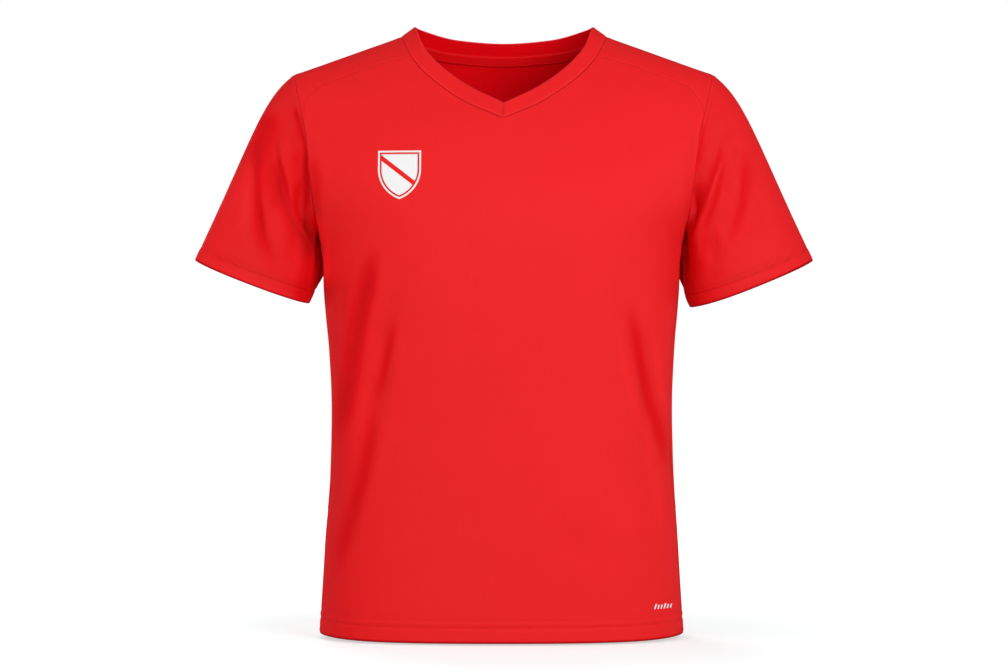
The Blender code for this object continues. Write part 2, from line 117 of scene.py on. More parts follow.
def nextRow(skin, low, start, used, closed):
    # the row of grid points above a row, or nothing if start isn't above its first point
    high, taken = [start], set(used)
    for i in range(len(low) if closed else len(low) - 1):
        a, b = low[i], low[(i + 1) % len(low)]
        faces = [f for f in skin.edges.get((a, b)).link_faces if f not in taken]
        if len(faces) != 1:
            return None
        taken.add(faces[0])
        corner = thirdVert(faces[0], a, b)
        far = (b, corner) if corner is high[-1] else (a, corner)
        edge = skin.edges.get(far)
        faces = [f for f in edge.link_faces if f not in taken]
        if len(faces) != 1:
            return None
        taken.add(faces[0])
        fourth = thirdVert(faces[0], *far)
        if corner is high[-1]:
            high.append(fourth)
        elif fourth is high[-1]:
            high.append(corner)
        else:
            return None
    if closed and high.pop() is not high[0]:
        return None
    used |= taken
    return high


def readGrid(name, first, closed=False):
    # rows of points of a node's outer side; first picks and orders the row they start from
    skin = outerSkin(name)
    rows, used = [first(skin)], set()
    while True:
        low = rows[-1]
        done = set(low) | (set(rows[-2]) if len(rows) > 1 else set())
        ways = [e.other_vert(low[0]) for e in low[0].link_edges if closed or e.is_boundary]
        ways = sorted((v for v in ways if v not in done), key=lambda v: (v.co - low[0].co).length)
        high = None
        for start in ways:
            high = nextRow(skin, low, start, used, closed)
            if high:
                break
        if not high:
            break
        rows.append(high)
    grid = np.array([[vert.co[:] for vert in row] for row in rows])
    skin.free()
    return grid


def between(loop, start, end):
    # the shorter way round a loop from one of its points to another
    i, j = loop.index(start), loop.index(end)
    ahead = loop[i:] + loop[:i]
    back = [ahead[0]] + ahead[:0:-1]
    return min((way[: way.index(end) + 1] for way in (ahead, back)), key=len)


def hemRow(skin):
    loop = edgeLoops(skin)[0]
    lowest = min(vert.co.z for vert in loop)
    low = [vert for vert in loop if vert.co.z < lowest + reading["hem"] * mm]
    return between(loop, min(low, key=lambda v: v.co.x), max(low, key=lambda v: v.co.x))


def insertRow(skin):
    # the front seam of a shoulder insert, from the neck outwards
    loop = edgeLoops(skin)[0]
    sharp = []
    for i, vert in enumerate(loop):
        before, after = vert.co - loop[i - 1].co, loop[(i + 1) % len(loop)].co - vert.co
        sharp.append((before.angle(after), vert))
    sharp.sort(key=lambda pair: -pair[0])
    corners = [vert for _, vert in sharp[:4] if vert.co.y < 0]
    corners.sort(key=lambda vert: abs(vert.co.x))
    return between(loop, corners[0], corners[-1])


def turnedRing(loop, first, axis, way):
    # a closed loop that starts at its first point and sets off along an axis
    i = loop.index(first)
    ahead = loop[i:] + loop[:i]
    return ahead if way * ahead[1].co[axis] > way * ahead[-1].co[axis] else [ahead[0]] + ahead[:0:-1]


def sleeveRow(skin):
    # the armhole seam as a ring, from the armpit forwards
    loop = min(edgeLoops(skin), key=lambda loop: sum(abs(v.co.x) for v in loop) / len(loop))
    return turnedRing(loop, min(loop, key=lambda vert: vert.co.z), 1, -1)


def collarRow(skin):
    # the collar seam as a ring, from the point of the V to the wearer's left
    loop = min(edgeLoops(skin), key=lambda loop: sum(v.co.z for v in loop) / len(loop))
    return turnedRing(loop, min(loop, key=lambda vert: vert.co.z), 0, 1)


# Fine smooth surfaces through those points.

def lineTangents(points, kinks):
    # the way along each line at each of its points, as it arrives and as it leaves
    step = np.diff(points, axis=0)
    length = np.linalg.norm(step, axis=2, keepdims=True)
    way = step / length
    share = length[:-1] / (length[:-1] + length[1:])
    smooth = np.empty_like(points)
    smooth[1:-1] = way[:-1] * (1 - share) + way[1:] * share
    leave, arrive = np.empty_like(points), np.empty_like(points)
    leave[:-2] = way[:-1] * (1 + share) - way[1:] * share
    arrive[2:] = way[1:] * (2 - share) - way[:-1] * (1 - share)
    smooth[0], smooth[-1] = leave[0], arrive[-1]
    tangentIn, tangentOut = smooth.copy(), smooth.copy()
    for i, weight in kinks.items():
        weight = np.asarray(weight, float).reshape(-1, 1)
        if 1 < i < len(points) - 2:
            tangentIn[i] = smooth[i] * (1 - weight) + arrive[i] * weight
            tangentOut[i] = smooth[i] * (1 - weight) + leave[i] * weight
    return tangentIn, tangentOut, length


def smoothLines(points, at, kinks):
    # points on smooth lines through rows of points, at places given in cells from the start
    tangentIn, tangentOut, length = lineTangents(points, kinks)
    cell = np.minimum(at.astype(int), len(points) - 2)
    t = (at - cell)[:, None, None]
    return (
        (2 * t**3 - 3 * t**2 + 1) * points[cell]
        + (t**3 - 2 * t**2 + t) * length[cell] * tangentOut[cell]
        + (3 * t**2 - 2 * t**3) * points[cell + 1]
        + (t**3 - t**2) * length[cell] * tangentIn[cell + 1]
    )


def smoothRings(points, at, kinks):
    # the same for closed lines, with the first point again at the end
    pad = 3
    wide = np.concatenate([points[-pad:], points, points[: pad + 1]])
    moved = {}
    for i, weight in kinks.items():
        for turn in (-len(points), 0, len(points)):
            moved[i + pad + turn] = weight
    moved = {i: weight for i, weight in moved.items() if 0 <= i < len(wide)}
    return smoothLines(wide, at + pad, moved)


def places(cells, each, finer={}):
    # where to place fine rows, in cells: the same number in each cell, apart from those in finer
    at = [np.arange(finer.get(i, each)) / finer.get(i, each) + i for i in range(cells)]
    return np.concatenate(at + [[float(cells)]])


def nearSeams(at, cell, start=True, end=True):
    # extra fine rows close to the seams at the start and the end of a run whose cells are so long
    extra = np.array(seams["steps"]) * mm / cell
    more = [at, extra if start else at[:0], at[-1] - extra if end else at[:0]]
    at = np.sort(np.concatenate(more))
    return at[np.concatenate([[True], np.diff(at) * cell > seams["least"] * mm])]


def fade(at, start, end):
    # 1 at start, 0 from end on, both in cells
    return np.clip((end - at) / (end - start), 0, 1)


class Cloth:
    # a fine grid of a piece: rows by columns of points, with distances along the cloth
    # sewn says whether its first and last rows, and its first and last columns, are seams
    def __init__(self, points, closed=False, sewn=(False, False, False, False)):
        self.points, self.closed, self.sewn, self.fields = points, closed, sewn, {}
        rows, columns = np.indices(points.shape[:2])
        self.places = np.stack([rows, columns], axis=2)
        self.measure()

    def edges(self, values):
        sides = (values[0], values[-1], values[:, 0], values[:, -1])
        return [side for side, sewn in zip(sides, self.sewn) if sewn]

    def measure(self):
        across = np.linalg.norm(np.diff(self.points, axis=1), axis=2)
        along = np.linalg.norm(np.diff(self.points, axis=0), axis=2)
        zero = np.zeros((len(self.points), 1))
        self.u = np.concatenate([zero, np.cumsum(across, axis=1)], axis=1)
        self.v = np.concatenate([np.zeros((1, self.points.shape[1])), np.cumsum(along, axis=0)])

    def normals(self):
        rows = self.points
        if self.closed:
            wide = np.concatenate([rows[:, -2:-1], rows, rows[:, 1:2]], axis=1)
            across = (wide[:, 2:] - wide[:, :-2]) / 2
        else:
            across = np.gradient(rows, axis=1)
        along = np.gradient(rows, axis=0)
        normal = np.cross(across, along)
        normal /= np.linalg.norm(normal, axis=2, keepdims=True) + 1e-12
        middle = rows.reshape(-1, 3).mean(axis=0)
        side = np.sum(normal * (rows - middle))
        return normal if side > 0 else -normal

    def push(self, height):
        self.points = self.points + self.normals() * height[:, :, None]

    def distanceTo(self, line):
        # how far each point is from a line of points
        tree = KDTree(len(line))
        for i, point in enumerate(line):
            tree.insert(point, i)
        tree.balance()
        flat = self.points.reshape(-1, 3)
        return np.array([tree.find(p)[2] for p in flat]).reshape(self.points.shape[:2])


def hump(distance):
    return np.exp(-(distance**2))


def softStep(x):
    x = np.clip(x, 0, 1)
    return x * x * (3 - 2 * x)


def clearOf(distance, over):
    # 0 on a line, rising to 1 at so many millimetres from it
    return softStep(distance / (over * mm))


def below(z, height, over):
    # 0 down to a height, rising to 1 at so many millimetres below it
    return softStep((height - z) / over)


def above(z, height, over):
    return softStep((z - height) / over)


def crease(size, wide, *line, ends=(0.3, 0.3)):
    # how far it stands out in millimetres, or, for a painted shade, how dark it is, and painted light where
    # that is negative; its widths on its left and its right hand; the points of its line, seen square from the
    # front; and the share over which each end fades
    return {"size": size, "wide": wide, "line": line, "ends": ends}


# in how many steps a crease is drawn, how far past its ends it reaches, and how soon it ends at a side
drawing = {"steps": 40, "past": 0.02, "turned": 2.5}


def curveThrough(points):
    line = np.array(points, float)[:, None, :]
    return smoothLines(line, np.linspace(0, len(line) - 1, drawing["steps"]), {})[:, 0, :]


def creaseField(points, facing, creases):
    # all of a piece's creases together, on the side that faces the viewer
    total = np.zeros(points.shape[:2])
    flat = points[:, :, [0, 2]].reshape(-1, 2) / mm
    for drawn in creases:
        line = curveThrough(drawn["line"])
        gap = flat[:, None, :] - line[None]
        far = np.einsum("ijk,ijk->ij", gap, gap)
        near = far.argmin(axis=1)
        share = near / (len(line) - 1)
        step = np.gradient(line, axis=0)
        step /= np.linalg.norm(step, axis=1, keepdims=True)
        offset = flat - line[near]
        aside = step[near, 0] * offset[:, 1] - step[near, 1] * offset[:, 0]
        width = np.where(aside > 0, *drawn["wide"])
        body = hump(np.sqrt(far[np.arange(len(near)), near]) / width)
        start, end = drawn["ends"]
        body = body * softStep((share + drawing["past"]) / start)
        body = body * softStep((1 + drawing["past"] - share) / end)
        total += (body * drawn["size"]).reshape(total.shape)
    return total * softStep(facing * drawing["turned"])


def meshOf(name, shape):
    # a bmesh made a smooth mesh, and freed
    for face in shape.faces:
        face.smooth = True
    mesh = bpy.data.meshes.new(name)
    shape.to_mesh(mesh)
    shape.free()
    return mesh


def objectOf(name, data):
    obj = bpy.data.objects.new(name, data)
    bpy.context.scene.collection.objects.link(obj)
    return obj


def gridMesh(name, cloth):
    # a grid laid on the fine points, and which column and row each of its vertices is
    rows, columns = cloth.points.shape[:2]
    sheet = bmesh.new()
    bmesh.ops.create_grid(sheet, x_segments=columns - 1, y_segments=rows - 1, size=1)
    mesh = meshOf(name, sheet)
    co = np.zeros(len(mesh.vertices) * 3, np.float32)
    mesh.vertices.foreach_get("co", co)
    co = co.reshape(-1, 3)
    i = np.rint((co[:, 0] + 1) / 2 * (columns - 1)).astype(int)
    j = np.rint((co[:, 1] + 1) / 2 * (rows - 1)).astype(int)
    mesh.vertices.foreach_set("co", cloth.points[j, i].astype(np.float32).ravel())
    return mesh, i, j


def treeOf(clothList):
    # the surfaces of some pieces, to cast rays at
    joined = bmesh.new()
    for cloth in clothList:
        mesh = gridMesh("cloth", cloth)[0]
        joined.from_mesh(mesh)
        bpy.data.meshes.remove(mesh)
    tree = BVHTree.FromBMesh(joined)
    joined.free()
    return tree


def meshFrom(name, cloth):
    # the piece's sheet, with its UV map in metres of cloth
    rows, columns = cloth.points.shape[:2]
    mesh, i, j = gridMesh(name, cloth)
    corner = np.zeros(len(mesh.loops), np.int32)
    mesh.loops.foreach_get("vertex_index", corner)
    uv = np.stack([cloth.u[j, i], cloth.v[j, i]], axis=1)[corner]
    mesh.uv_layers.new(name="clothUv").data.foreach_set("uv", uv.astype(np.float32).ravel())
    for key, values in cloth.fields.items():
        layer = mesh.attributes.new(key, "FLOAT", "POINT")
        layer.data.foreach_set("value", values[j, i].astype(np.float32))
    sheet = bmesh.new()
    sheet.from_mesh(mesh)
    if cloth.closed:
        bmesh.ops.remove_doubles(sheet, verts=sheet.verts[:], dist=seams["merge"] * mm)
    sheet.normal_update()
    wanted = Vector(cloth.normals()[rows // 2, columns // 3])
    place = Vector(cloth.points[rows // 2, columns // 3])
    face = min(sheet.faces, key=lambda f: (f.calc_center_median() - place).length)
    if face.normal.dot(wanted) < 0:
        bmesh.ops.reverse_faces(sheet, faces=sheet.faces[:])
    sheet.to_mesh(mesh)
    sheet.free()
    return objectOf(name, mesh)


# The pieces, all sizes in millimetres. A seam is a fine groove with a soft puff of cloth beside it.
seams = {
    "steps": (0.45, 1.0, 1.8, 2.9), "least": 0.25, "sink": 0.6, "near": 1.0, "puff": 0.28, "puffAt": 3.6,
    "puffWide": 2.0, "turnIn": (0.4, 0.9, 1.6), "meet": 1.2, "merge": 0.002,
    # a shoulder's seams are pressed flat: by how much, and how far along the panel
    "flat": 0.65, "flatWide": 6,
}


def seamHeight(distance, share=1.0):
    d = distance / mm
    sink = -seams["sink"] * hump(d / seams["near"])
    puff = seams["puff"] * hump((d - seams["puffAt"]) / seams["puffWide"])
    return (sink + puff) * share * mm


def meetOn(cloth, others):
    # a piece's sewn edges are moved to the line midway to the edges that they are sewn to
    lines = [line for other in others for line in other.edges(other.points)]
    starts = np.concatenate([line[:-1] for line in lines])
    steps = np.concatenate([np.diff(line, axis=0) for line in lines])
    lengths = np.maximum(np.einsum("ij,ij->i", steps, steps), 1e-14)
    moved = cloth.points.copy()
    for edge, place in zip(cloth.edges(cloth.points), cloth.edges(cloth.places)):
        gap = edge[:, None, :] - starts[None]
        share = np.clip(np.einsum("ijk,jk->ij", gap, steps) / lengths, 0, 1)
        gap = share[:, :, None] * steps[None] - gap
        far = np.einsum("ijk,ijk->ij", gap, gap)
        nearest = far.argmin(axis=1)
        pick = np.arange(len(edge))
        close = far[pick, nearest] < (seams["meet"] * mm) ** 2
        shift = gap[pick, nearest] / 2 * close[:, None]
        moved[place[:, 0], place[:, 1]] = edge + shift
    return moved


def turnedIn(cloth):
    # a copy with extra rows that turn the sewn edges to the inside, as their allowances do
    more = np.array(seams["turnIn"]) * mm
    layers = {"points": cloth.points, "normals": cloth.normals(), "u": cloth.u, "v": cloth.v, **cloth.fields}
    depth = np.zeros(cloth.points.shape[:2])
    for axis in (0, 1):
        before, after = (len(more) if sewn else 0 for sewn in cloth.sewn[2 * axis : 2 * axis + 2])
        count = depth.shape[axis]
        pick = np.clip(np.arange(-before, count + after), 0, count - 1)
        layers = {key: np.take(values, pick, axis) for key, values in layers.items()}
        profile = np.concatenate([more[::-1][:before], np.zeros(count), more[:after]])
        depth = np.take(depth, pick, axis)
        depth = np.maximum(depth, profile[:, None] if axis == 0 else profile[None, :])
    points = layers.pop("points") - layers.pop("normals") * depth[:, :, None]
    turned = Cloth(points, cloth.closed)
    turned.u, turned.v = layers.pop("u"), layers.pop("v")
    turned.fields = layers
    return turned


# The body's hem: its two stitched lines above the edge, its form, and how dark the painted shade along its
# lines and its edge is.
hemFold = {
    "deep": 17, "second": 25, "groove": 0.62, "lip": 0.42, "pucker": 0.14, "pitch": 13, "line": 0.07,
    "edge": 1.6,
}
# What the body's hem and the cuffs share.
hemShape = {
    "grooveWide": 1.6, "secondShare": 0.45, "lipWide": 3.0, "step": 0.3, "stepOver": 2, "waves": (31.0, 17.3),
    "puckerUp": 2, "puckerWide": 9, "round": 0.5, "roundWide": 1.2,
}


def hemHeight(edgeDistance, along, fold):
    # a turned-up hem: a stitched groove, a soft roll above it and puckers that come and go
    d, s = edgeDistance / mm, along / mm
    wobble = 0.6 * np.sin(s / hemShape["waves"][0] + 1.0) + 0.4 * np.sin(s / hemShape["waves"][1])
    between = (fold["deep"] + fold["second"]) / 2
    height = -fold["groove"] * hump((d - fold["deep"]) / hemShape["grooveWide"])
    height -= hemShape["secondShare"] * fold["groove"] * hump((d - fold["second"]) / hemShape["grooveWide"])
    height += fold["lip"] * hump((d - between) / hemShape["lipWide"])
    height += hemShape["step"] * softStep((fold["deep"] - d) / hemShape["stepOver"])
    drag = np.sin(2 * math.pi * (s + 0.5 * d) / fold["pitch"] + 3 * wobble)
    up = (d - fold["deep"] - hemShape["puckerUp"]) / hemShape["puckerWide"]
    height += fold["pucker"] * drag * (0.6 + 0.4 * wobble) * hump(up)
    height -= hemShape["round"] * hump(d / hemShape["roundWide"])
    return height * mm


# Both panels: fine columns and rows to a cell, the neck's point counted from the middle, the armpits' row,
# how soon a corner softens, and how near the seams the creases and the hem begin.
panel = {
    "cells": 7, "rows": 7, "hemRows": 22, "neckPoint": 6, "armpitRow": 16, "soften": 3,
    "creasesFrom": 20, "hemFrom": 4,
    # the roll beside each side seam: how far in and how wide; and how dark the painted shade at the outline is
    "rollAt": 15, "rollWide": 10, "fold": 0.45,
    # the heights between which the armhole pulls and the painted glow shows, and over how far each begins
    "armhole": {"top": (-95, 110), "foot": (-262, 26)},
    "through": {"top": (-195, 25), "foot": (-290, 25), "turned": 6},
}
frontPanel = {
    "sideRoll": 2.4,
    "creases": [
        crease(3.0, (10, 10), (-135, -236), (-138, -278), (-145, -311), (-152, -344), (-157, -377),
               (-163, -410), (-169, -443), (-175, -476), (-181, -509), ends=(0.18, 0.3)),
        crease(2.3, (9, 9), (-110, -262), (-111, -300), (-118, -344), (-123, -377), (-128, -410),
               (-134, -443), (-141, -476), (-147, -509), (-157, -542), (-164, -578)),
        crease(-2.0, (12, 12), (-150, -250), (-158, -300), (-168, -350), (-174, -400)),
        crease(1.6, (6, 6), (157, -305), (163, -344), (169, -377), (172, -410), (180, -446)),
        crease(-1.6, (7, 7), (152, -330), (158, -372), (163, -408), (171, -440)),
        crease(0.7, (6, 7), (126, -315), (139, -409), (160, -478), (180, -550)),
        crease(-0.8, (12, 12), (133, -262), (136, -300), (140, -340)),
        crease(-1.3, (16, 20), (51, -562), (88, -579), (130, -620)),
        crease(-0.8, (11, 14), (84, -556), (112, -572), (140, -604)),
        crease(-1.4, (18, 18), (-70, -572), (-94, -600), (-120, -632)),
        crease(-0.9, (22, 22), (-30, -520), (-60, -560), (-92, -585)),
        crease(-1.4, (12, 15), (-196, -80), (-170, -100), (-140, -128)),
        crease(-1.2, (15, 12), (196, -80), (170, -100), (142, -130)),
        crease(0.9, (14, 12), (-188, -112), (-166, -140), (-150, -176)),
    ],
    # painted shade: lines painted darker where the cloth lies folded back; a negative one is painted light
    "shades": [
        crease(0.28, (9, 10), (-142, -238), (-147, -262), (-152, -289), (-158, -311), (-162, -333),
               (-166, -355), (-169, -377), (-173, -399), (-177, -421), (-182, -443), (-187, -465),
               ends=(0.25, 0.3)),
        crease(0.15, (7, 9), (-142, -410), (-146, -443), (-150, -472), (-157, -504), (-165, -530),
               (-174, -556), (-181, -585), (-185, -620)),
        crease(0.055, (36, 30), (-178, -235), (-182, -340), (-186, -430), (-188, -520), (-188, -600),
               (-188, -680), ends=(0.15, 0.05)),
        crease(0.13, (5, 6), (-119, -318), (-124, -342), (-129, -366), (-136, -394), (-140, -413)),
        crease(0.09, (10, 5), (-217, -138), (-212, -158), (-208, -178), (-205, -197)),
        crease(0.20, (7, 6), (136, -300), (141, -318), (146, -337), (150, -362), (156, -388), (163, -415),
               (171, -441), (178, -468), (184, -496), ends=(0.4, 0.25)),
        crease(-0.18, (5, 6), (130, -330), (135, -360), (139, -388), (146, -415), (155, -441), (163, -468),
               (168, -494), (172, -521), (177, -547), (180, -573)),
        crease(-0.12, (4, 4), (167, -340), (171, -370), (176, -400), (181, -428)),
    ],
    # painted light beside each arm, a glow in the cloth's own red: how much, and how soon it fades
    "through": {"right": (0.45, 12), "left": (0.5, 6)},
}
backPanel = {
    "sideRoll": 2.0,
    "creases": [
        crease(-2.8, (12, 15), (-128, -240), (-139, -310), (-150, -390), (-168, -460)),
        crease(1.2, (5, 6), (-150, -300), (-162, -380), (-176, -470), (-186, -545)),
        crease(-2.6, (14, 12), (133, -250), (139, -320), (153, -400), (169, -480)),
        crease(-1.6, (11, 13), (112, -300), (121, -380), (136, -450), (146, -520)),
        crease(1.1, (5, 6), (156, -310), (164, -390), (178, -480)),
        crease(-2.2, (18, 20), (-36, -300), (-30, -370), (-40, -450), (-58, -520)),
        crease(-1.8, (17, 15), (30, -330), (38, -400), (36, -470), (48, -540)),
        crease(1.4, (13, 13), (0, -340), (2, -420), (-8, -500)),
        crease(-1.2, (17, 17), (-60, -560), (-92, -590), (-122, -628)),
        crease(-1.1, (16, 18), (66, -566), (96, -592), (124, -622)),
        crease(-1.8, (14, 16), (-196, -70), (-160, -104), (-128, -150)),
        crease(-1.6, (16, 14), (196, -70), (163, -108), (134, -160)),
        crease(-0.9, (9, 12), (-40, -60), (0, -68), (42, -61)),
    ],
    # painted shade: lines painted darker where the cloth lies folded
    "shades": [
        crease(0.15, (9, 11), (-137, -280), (-146, -340), (-158, -410), (-172, -480)),
        crease(0.12, (10, 9), (127, -280), (138, -370), (152, -450)),
        crease(0.05, (12, 12), (-34, -310), (-34, -410), (-50, -510)),
    ],
    "through": {"right": (0.3, 8), "left": (0.3, 8)},
}


def cellLengths(grid, axis):
    steps = np.linalg.norm(np.diff(grid, axis=axis), axis=2)
    return np.take(steps, [0], axis).mean(), np.take(steps, [-1], axis).mean()


def panelForm(name):
    grid = readGrid(name, hemRow)
    cells, half = grid.shape[1] - 1, (grid.shape[1] - 1) // 2
    top, corner, soften = len(grid) - 1, panel["neckPoint"], panel["soften"]
    aside = np.minimum(np.arange(cells + 1), cells - np.arange(cells + 1))
    upAt = places(top, panel["rows"], {0: panel["hemRows"]})
    upAt = nearSeams(upAt, cellLengths(grid, 0)[1], start=False)
    up = smoothLines(grid, upAt, {panel["armpitRow"]: fade(aside, 0, soften)})
    nearTop = fade(top - upAt, 0, soften)
    kinks = {half - corner: nearTop, half + corner: nearTop}
    if name == "front":
        kinks[half] = nearTop
    acrossAt = nearSeams(places(cells, panel["cells"]), cellLengths(grid, 1)[0])
    across = smoothLines(up.transpose(1, 0, 2), acrossAt, kinks)
    cloth = Cloth(across.transpose(1, 0, 2), sewn=(False, True, True, True))
    cloth.shoulders = np.abs(acrossAt - half) >= corner
    return cloth


def armholeShare(points):
    # 0 at the shoulder, 1 at the armpit, then 0 again below it
    z = points[:, :, 2] / mm
    return below(z, *panel["armhole"]["top"]) * above(z, *panel["armhole"]["foot"])


def besideArms(cloth, sides):
    # painted light: how much the cloth glows, fading inwards from the body's widest line at each height
    x, z = cloth.points[:, :, 0] / mm, cloth.points[:, :, 2] / mm
    inwards = np.abs(x).max(axis=1)[:, None] - np.abs(x)
    right, left = (most * np.exp(-inwards / wide) for most, wide in (sides["right"], sides["left"]))
    share = np.where(x < 0, right, left)
    return share * below(z, *panel["through"]["top"]) * above(z, *panel["through"]["foot"])


def panelFinish(cloth, kit, facing):
    toSide = cloth.normals()[:, :, 1] * facing
    cloth.seam = cloth.distanceTo(np.concatenate(cloth.edges(cloth.points)))
    height = creaseField(cloth.points, toSide, kit["creases"]) * mm
    height = height * clearOf(cloth.seam, panel["creasesFrom"])
    sides = cloth.distanceTo(np.concatenate([cloth.points[:, 0], cloth.points[:, -1]])) / mm
    roll = hump((sides - panel["rollAt"]) / panel["rollWide"])
    height += kit["sideRoll"] * mm * roll * armholeShare(cloth.points)
    height += hemHeight(cloth.v, cloth.u, hemFold) * clearOf(cloth.seam, panel["hemFrom"])
    shoulders = cloth.distanceTo(cloth.points[-1, cloth.shoulders])
    cloth.firm = 1 - seams["flat"] * hump(shoulders / (seams["flatWide"] * mm))
    height += seamHeight(cloth.seam) * cloth.firm
    # painted shade along the folds, and painted light where a line is negative
    cloth.tuck = creaseField(cloth.points, toSide, kit["shades"])
    # painted light: a glow beside the arms
    cloth.through = besideArms(cloth, kit["through"]) * softStep(toSide * panel["through"]["turned"])
    cloth.push(height)
    middle = cloth.u[:, cloth.u.shape[1] // 2]
    cloth.u = cloth.u - middle[:, None]
    cloth.hem, cloth.fold, cloth.folded = cloth.v, hemFold, panel["fold"]


sleeve = {
    "around": 10, "down": 10, "soften": 2.5,
    # the cuff: its stitched lines, its form, and how dark the painted shade along its lines and its edge is
    "hem": {
        "deep": 15, "second": 19.5, "groove": 0.75, "lip": 0.35, "pucker": 0.14, "pitch": 11, "line": 1.0,
        "edge": 1.6,
    },
    # how near the armhole seam these begin, and how much flatter the hem is under the arm, over what width
    "creasesFrom": 14, "hollowFrom": 4, "hemFrom": 5, "hemUnder": (0.8, 30),
    # towards the hem the creases weaken: from where, over what, and to what share
    "toHem": (9, 24, 0.25),
    # how soon the hollows reach their full depth as the cloth turns to the front or the back
    "upright": 1.6,
    # under the arm the cloth rolls back, clear of the seam, the hem and the middle
    "roll": {"deep": 5, "at": 16, "wide": 15, "from": (-200, 30), "seam": 10, "hem": 26, "middle": 9},
    # the heights where the painted shade beside the body starts and weakens, and where the outer side's
    # painted light begins
    "tuck": {
        "from": (-175, 60), "weaker": (-236, 30), "less": 0.7, "outer": (-125, 60), "levels": 40, "near": 6,
    },
    # behind the body's widest line the cloth hangs in towards the body, just clear of it
    "drape": {
        "in": 12, "clear": 0.9, "reach": 40, "least": 0.1, "from": (-224, 14), "seam": 9, "hem": 31,
        "inner": (1.8, 0.2), "start": (2, 16), "end": (70, 20),
    },
    "tip": {"from": (-255, 48), "wide": 42},
    # Each side has its own hollow beside the armhole seam: how deep, how far from the seam at its top and
    # foot, how wide towards the seam as a share of that, and how wide away. Then the painted shade beside
    # the body: how dark, how far out and how wide; the painted light on its outer side: so much lighter and
    # how wide; and how far its cuff's tip leans in.
    "right": {
        "hollow": {"deep": 12, "at": (4, 18), "toSeam": 0.75, "away": 4.5},
        "tuck": (0.75, 12, 9), "outer": (0.5, 24), "tip": 0,
        "creases": [
            crease(4.2, (8, 3.6), (-256, -108), (-252, -121), (-249, -138), (-245, -155), (-241, -171),
                   (-236, -188), (-231, -205), (-225, -222), (-220, -240), ends=(0.3, 0.15)),
            crease(3.9, (8, 5), (-274, -128), (-272, -155), (-271, -171), (-270, -188), (-267, -205),
                   (-264, -222), (-260, -238), (-254, -256), ends=(0.25, 0.3)),
            crease(-2.4, (6, 7), (-260, -140), (-257, -165), (-251, -188), (-245, -208), (-238, -225)),
            crease(-2.6, (9, 7), (-284, -140), (-284, -170), (-281, -200), (-275, -228)),
            crease(0.8, (10, 10), (-300, -160), (-303, -195), (-300, -230)),
        ],
        # painted shade: lines painted darker along the folds
        "shades": [
            crease(0.30, (4.5, 6), (-254, -138), (-249, -163), (-247, -179), (-243, -194), (-237, -210),
                   (-232, -227), (-228, -242), ends=(0.2, 0.4)),
            crease(0.18, (8, 8), (-270, -112), (-276, -127), (-276, -149), (-276, -171), (-276, -194),
                   (-273, -213), (-271, -230), (-264, -250), (-256, -270)),
            crease(0.05, (8, 34), (-222, -95), (-228, -150), (-232, -200), (-232, -250), (-230, -300),
                   ends=(0.2, 0.1)),
            crease(0.22, (13, 9), (-261, -84), (-266, -100), (-272, -120), (-275, -140), (-276, -162)),
            crease(0.19, (5, 9), (-262, -140), (-260, -158), (-257, -173), (-252, -188), (-247, -204)),
            crease(0.10, (5, 6), (-236, -132), (-235, -151), (-233, -170), (-230, -190)),
            crease(0.36, (3.5, 4), (-235, -81), (-233, -90), (-229, -99), (-227, -110), (-224, -121),
                   (-222, -138)),
            crease(0.32, (7, 9), (-223, -124), (-221, -138), (-219, -157), (-219, -177), (-220, -194),
                   (-220, -208), ends=(0.3, 0.2)),
            crease(0.30, (5, 6), (-221, -202), (-217, -218), (-213, -236)),
        ],
    },
    "left": {
        "hollow": {"deep": 10, "at": (3, 4.5), "toSeam": 0.8, "away": 9},
        "tuck": (0.12, 9, 7), "outer": (0, 24), "tip": 6.5,
        "creases": [
            crease(3.0, (7, 3.5), (251, -112), (248, -121), (243, -138), (239, -155), (233, -171),
                   (226, -188), (220, -205), (214, -222), (208, -240), ends=(0.25, 0.2)),
            crease(2.0, (7, 4.5), (257, -125), (255, -138), (250, -155), (245, -171), (240, -188),
                   (233, -205), (226, -222), (220, -245), ends=(0.25, 0.3)),
            crease(2.4, (9, 4.5), (272, -125), (270, -149), (270, -171), (268, -188), (264, -205),
                   (259, -222), ends=(0.25, 0.5)),
            crease(-1.0, (6, 6), (258, -140), (255, -165), (250, -190), (242, -212)),
            crease(0.7, (9, 9), (295, -165), (296, -200), (291, -236)),
        ],
        # painted shade: lines painted darker along the folds; a negative one is painted light
        "shades": [
            crease(0.14, (5, 4), (228, -88), (222, -110), (221, -127), (219, -143), (216, -161)),
            crease(0.20, (6, 6), (218, -166), (218, -183), (216, -199)),
            crease(0.12, (5, 5), (227, -222), (224, -244), (220, -272)),
            crease(0.05, (26, 12), (212, -140), (220, -190), (226, -230), (226, -270), (222, -310),
                   ends=(0.2, 0.1)),
            crease(-0.20, (6, 6), (242, -208), (238, -237), (233, -266)),
            crease(0.22, (3, 5), (246, -128), (241, -143), (235, -158), (229, -175), (224, -192), (219, -207),
                   ends=(0.3, 0.2)),
            crease(-0.12, (2.5, 2.5), (242, -136), (240, -150), (236, -165), (231, -180), (225, -195)),
            crease(0.20, (4.5, 3), (247, -138), (243, -157), (238, -177), (233, -194), (227, -211),
                   (219, -226)),
            crease(0.17, (7, 5), (271, -128), (271, -148), (271, -163), (269, -180), (265, -197), (260, -213),
                   (255, -230), (248, -246), ends=(0.3, 0.4)),
        ],
    },
    # the creases on the back of the left sleeve, which the right one has the other way round
    "behind": [
        crease(-3.4, (8, 7), (252, -110), (247, -145), (238, -180), (228, -215), (220, -250)),
        crease(2.4, (5, 5), (262, -120), (260, -155), (252, -190), (244, -225)),
        crease(-2.6, (8, 8), (276, -135), (276, -170), (270, -205), (262, -240)),
        crease(1.4, (8, 9), (292, -165), (293, -200), (288, -238)),
    ],
}


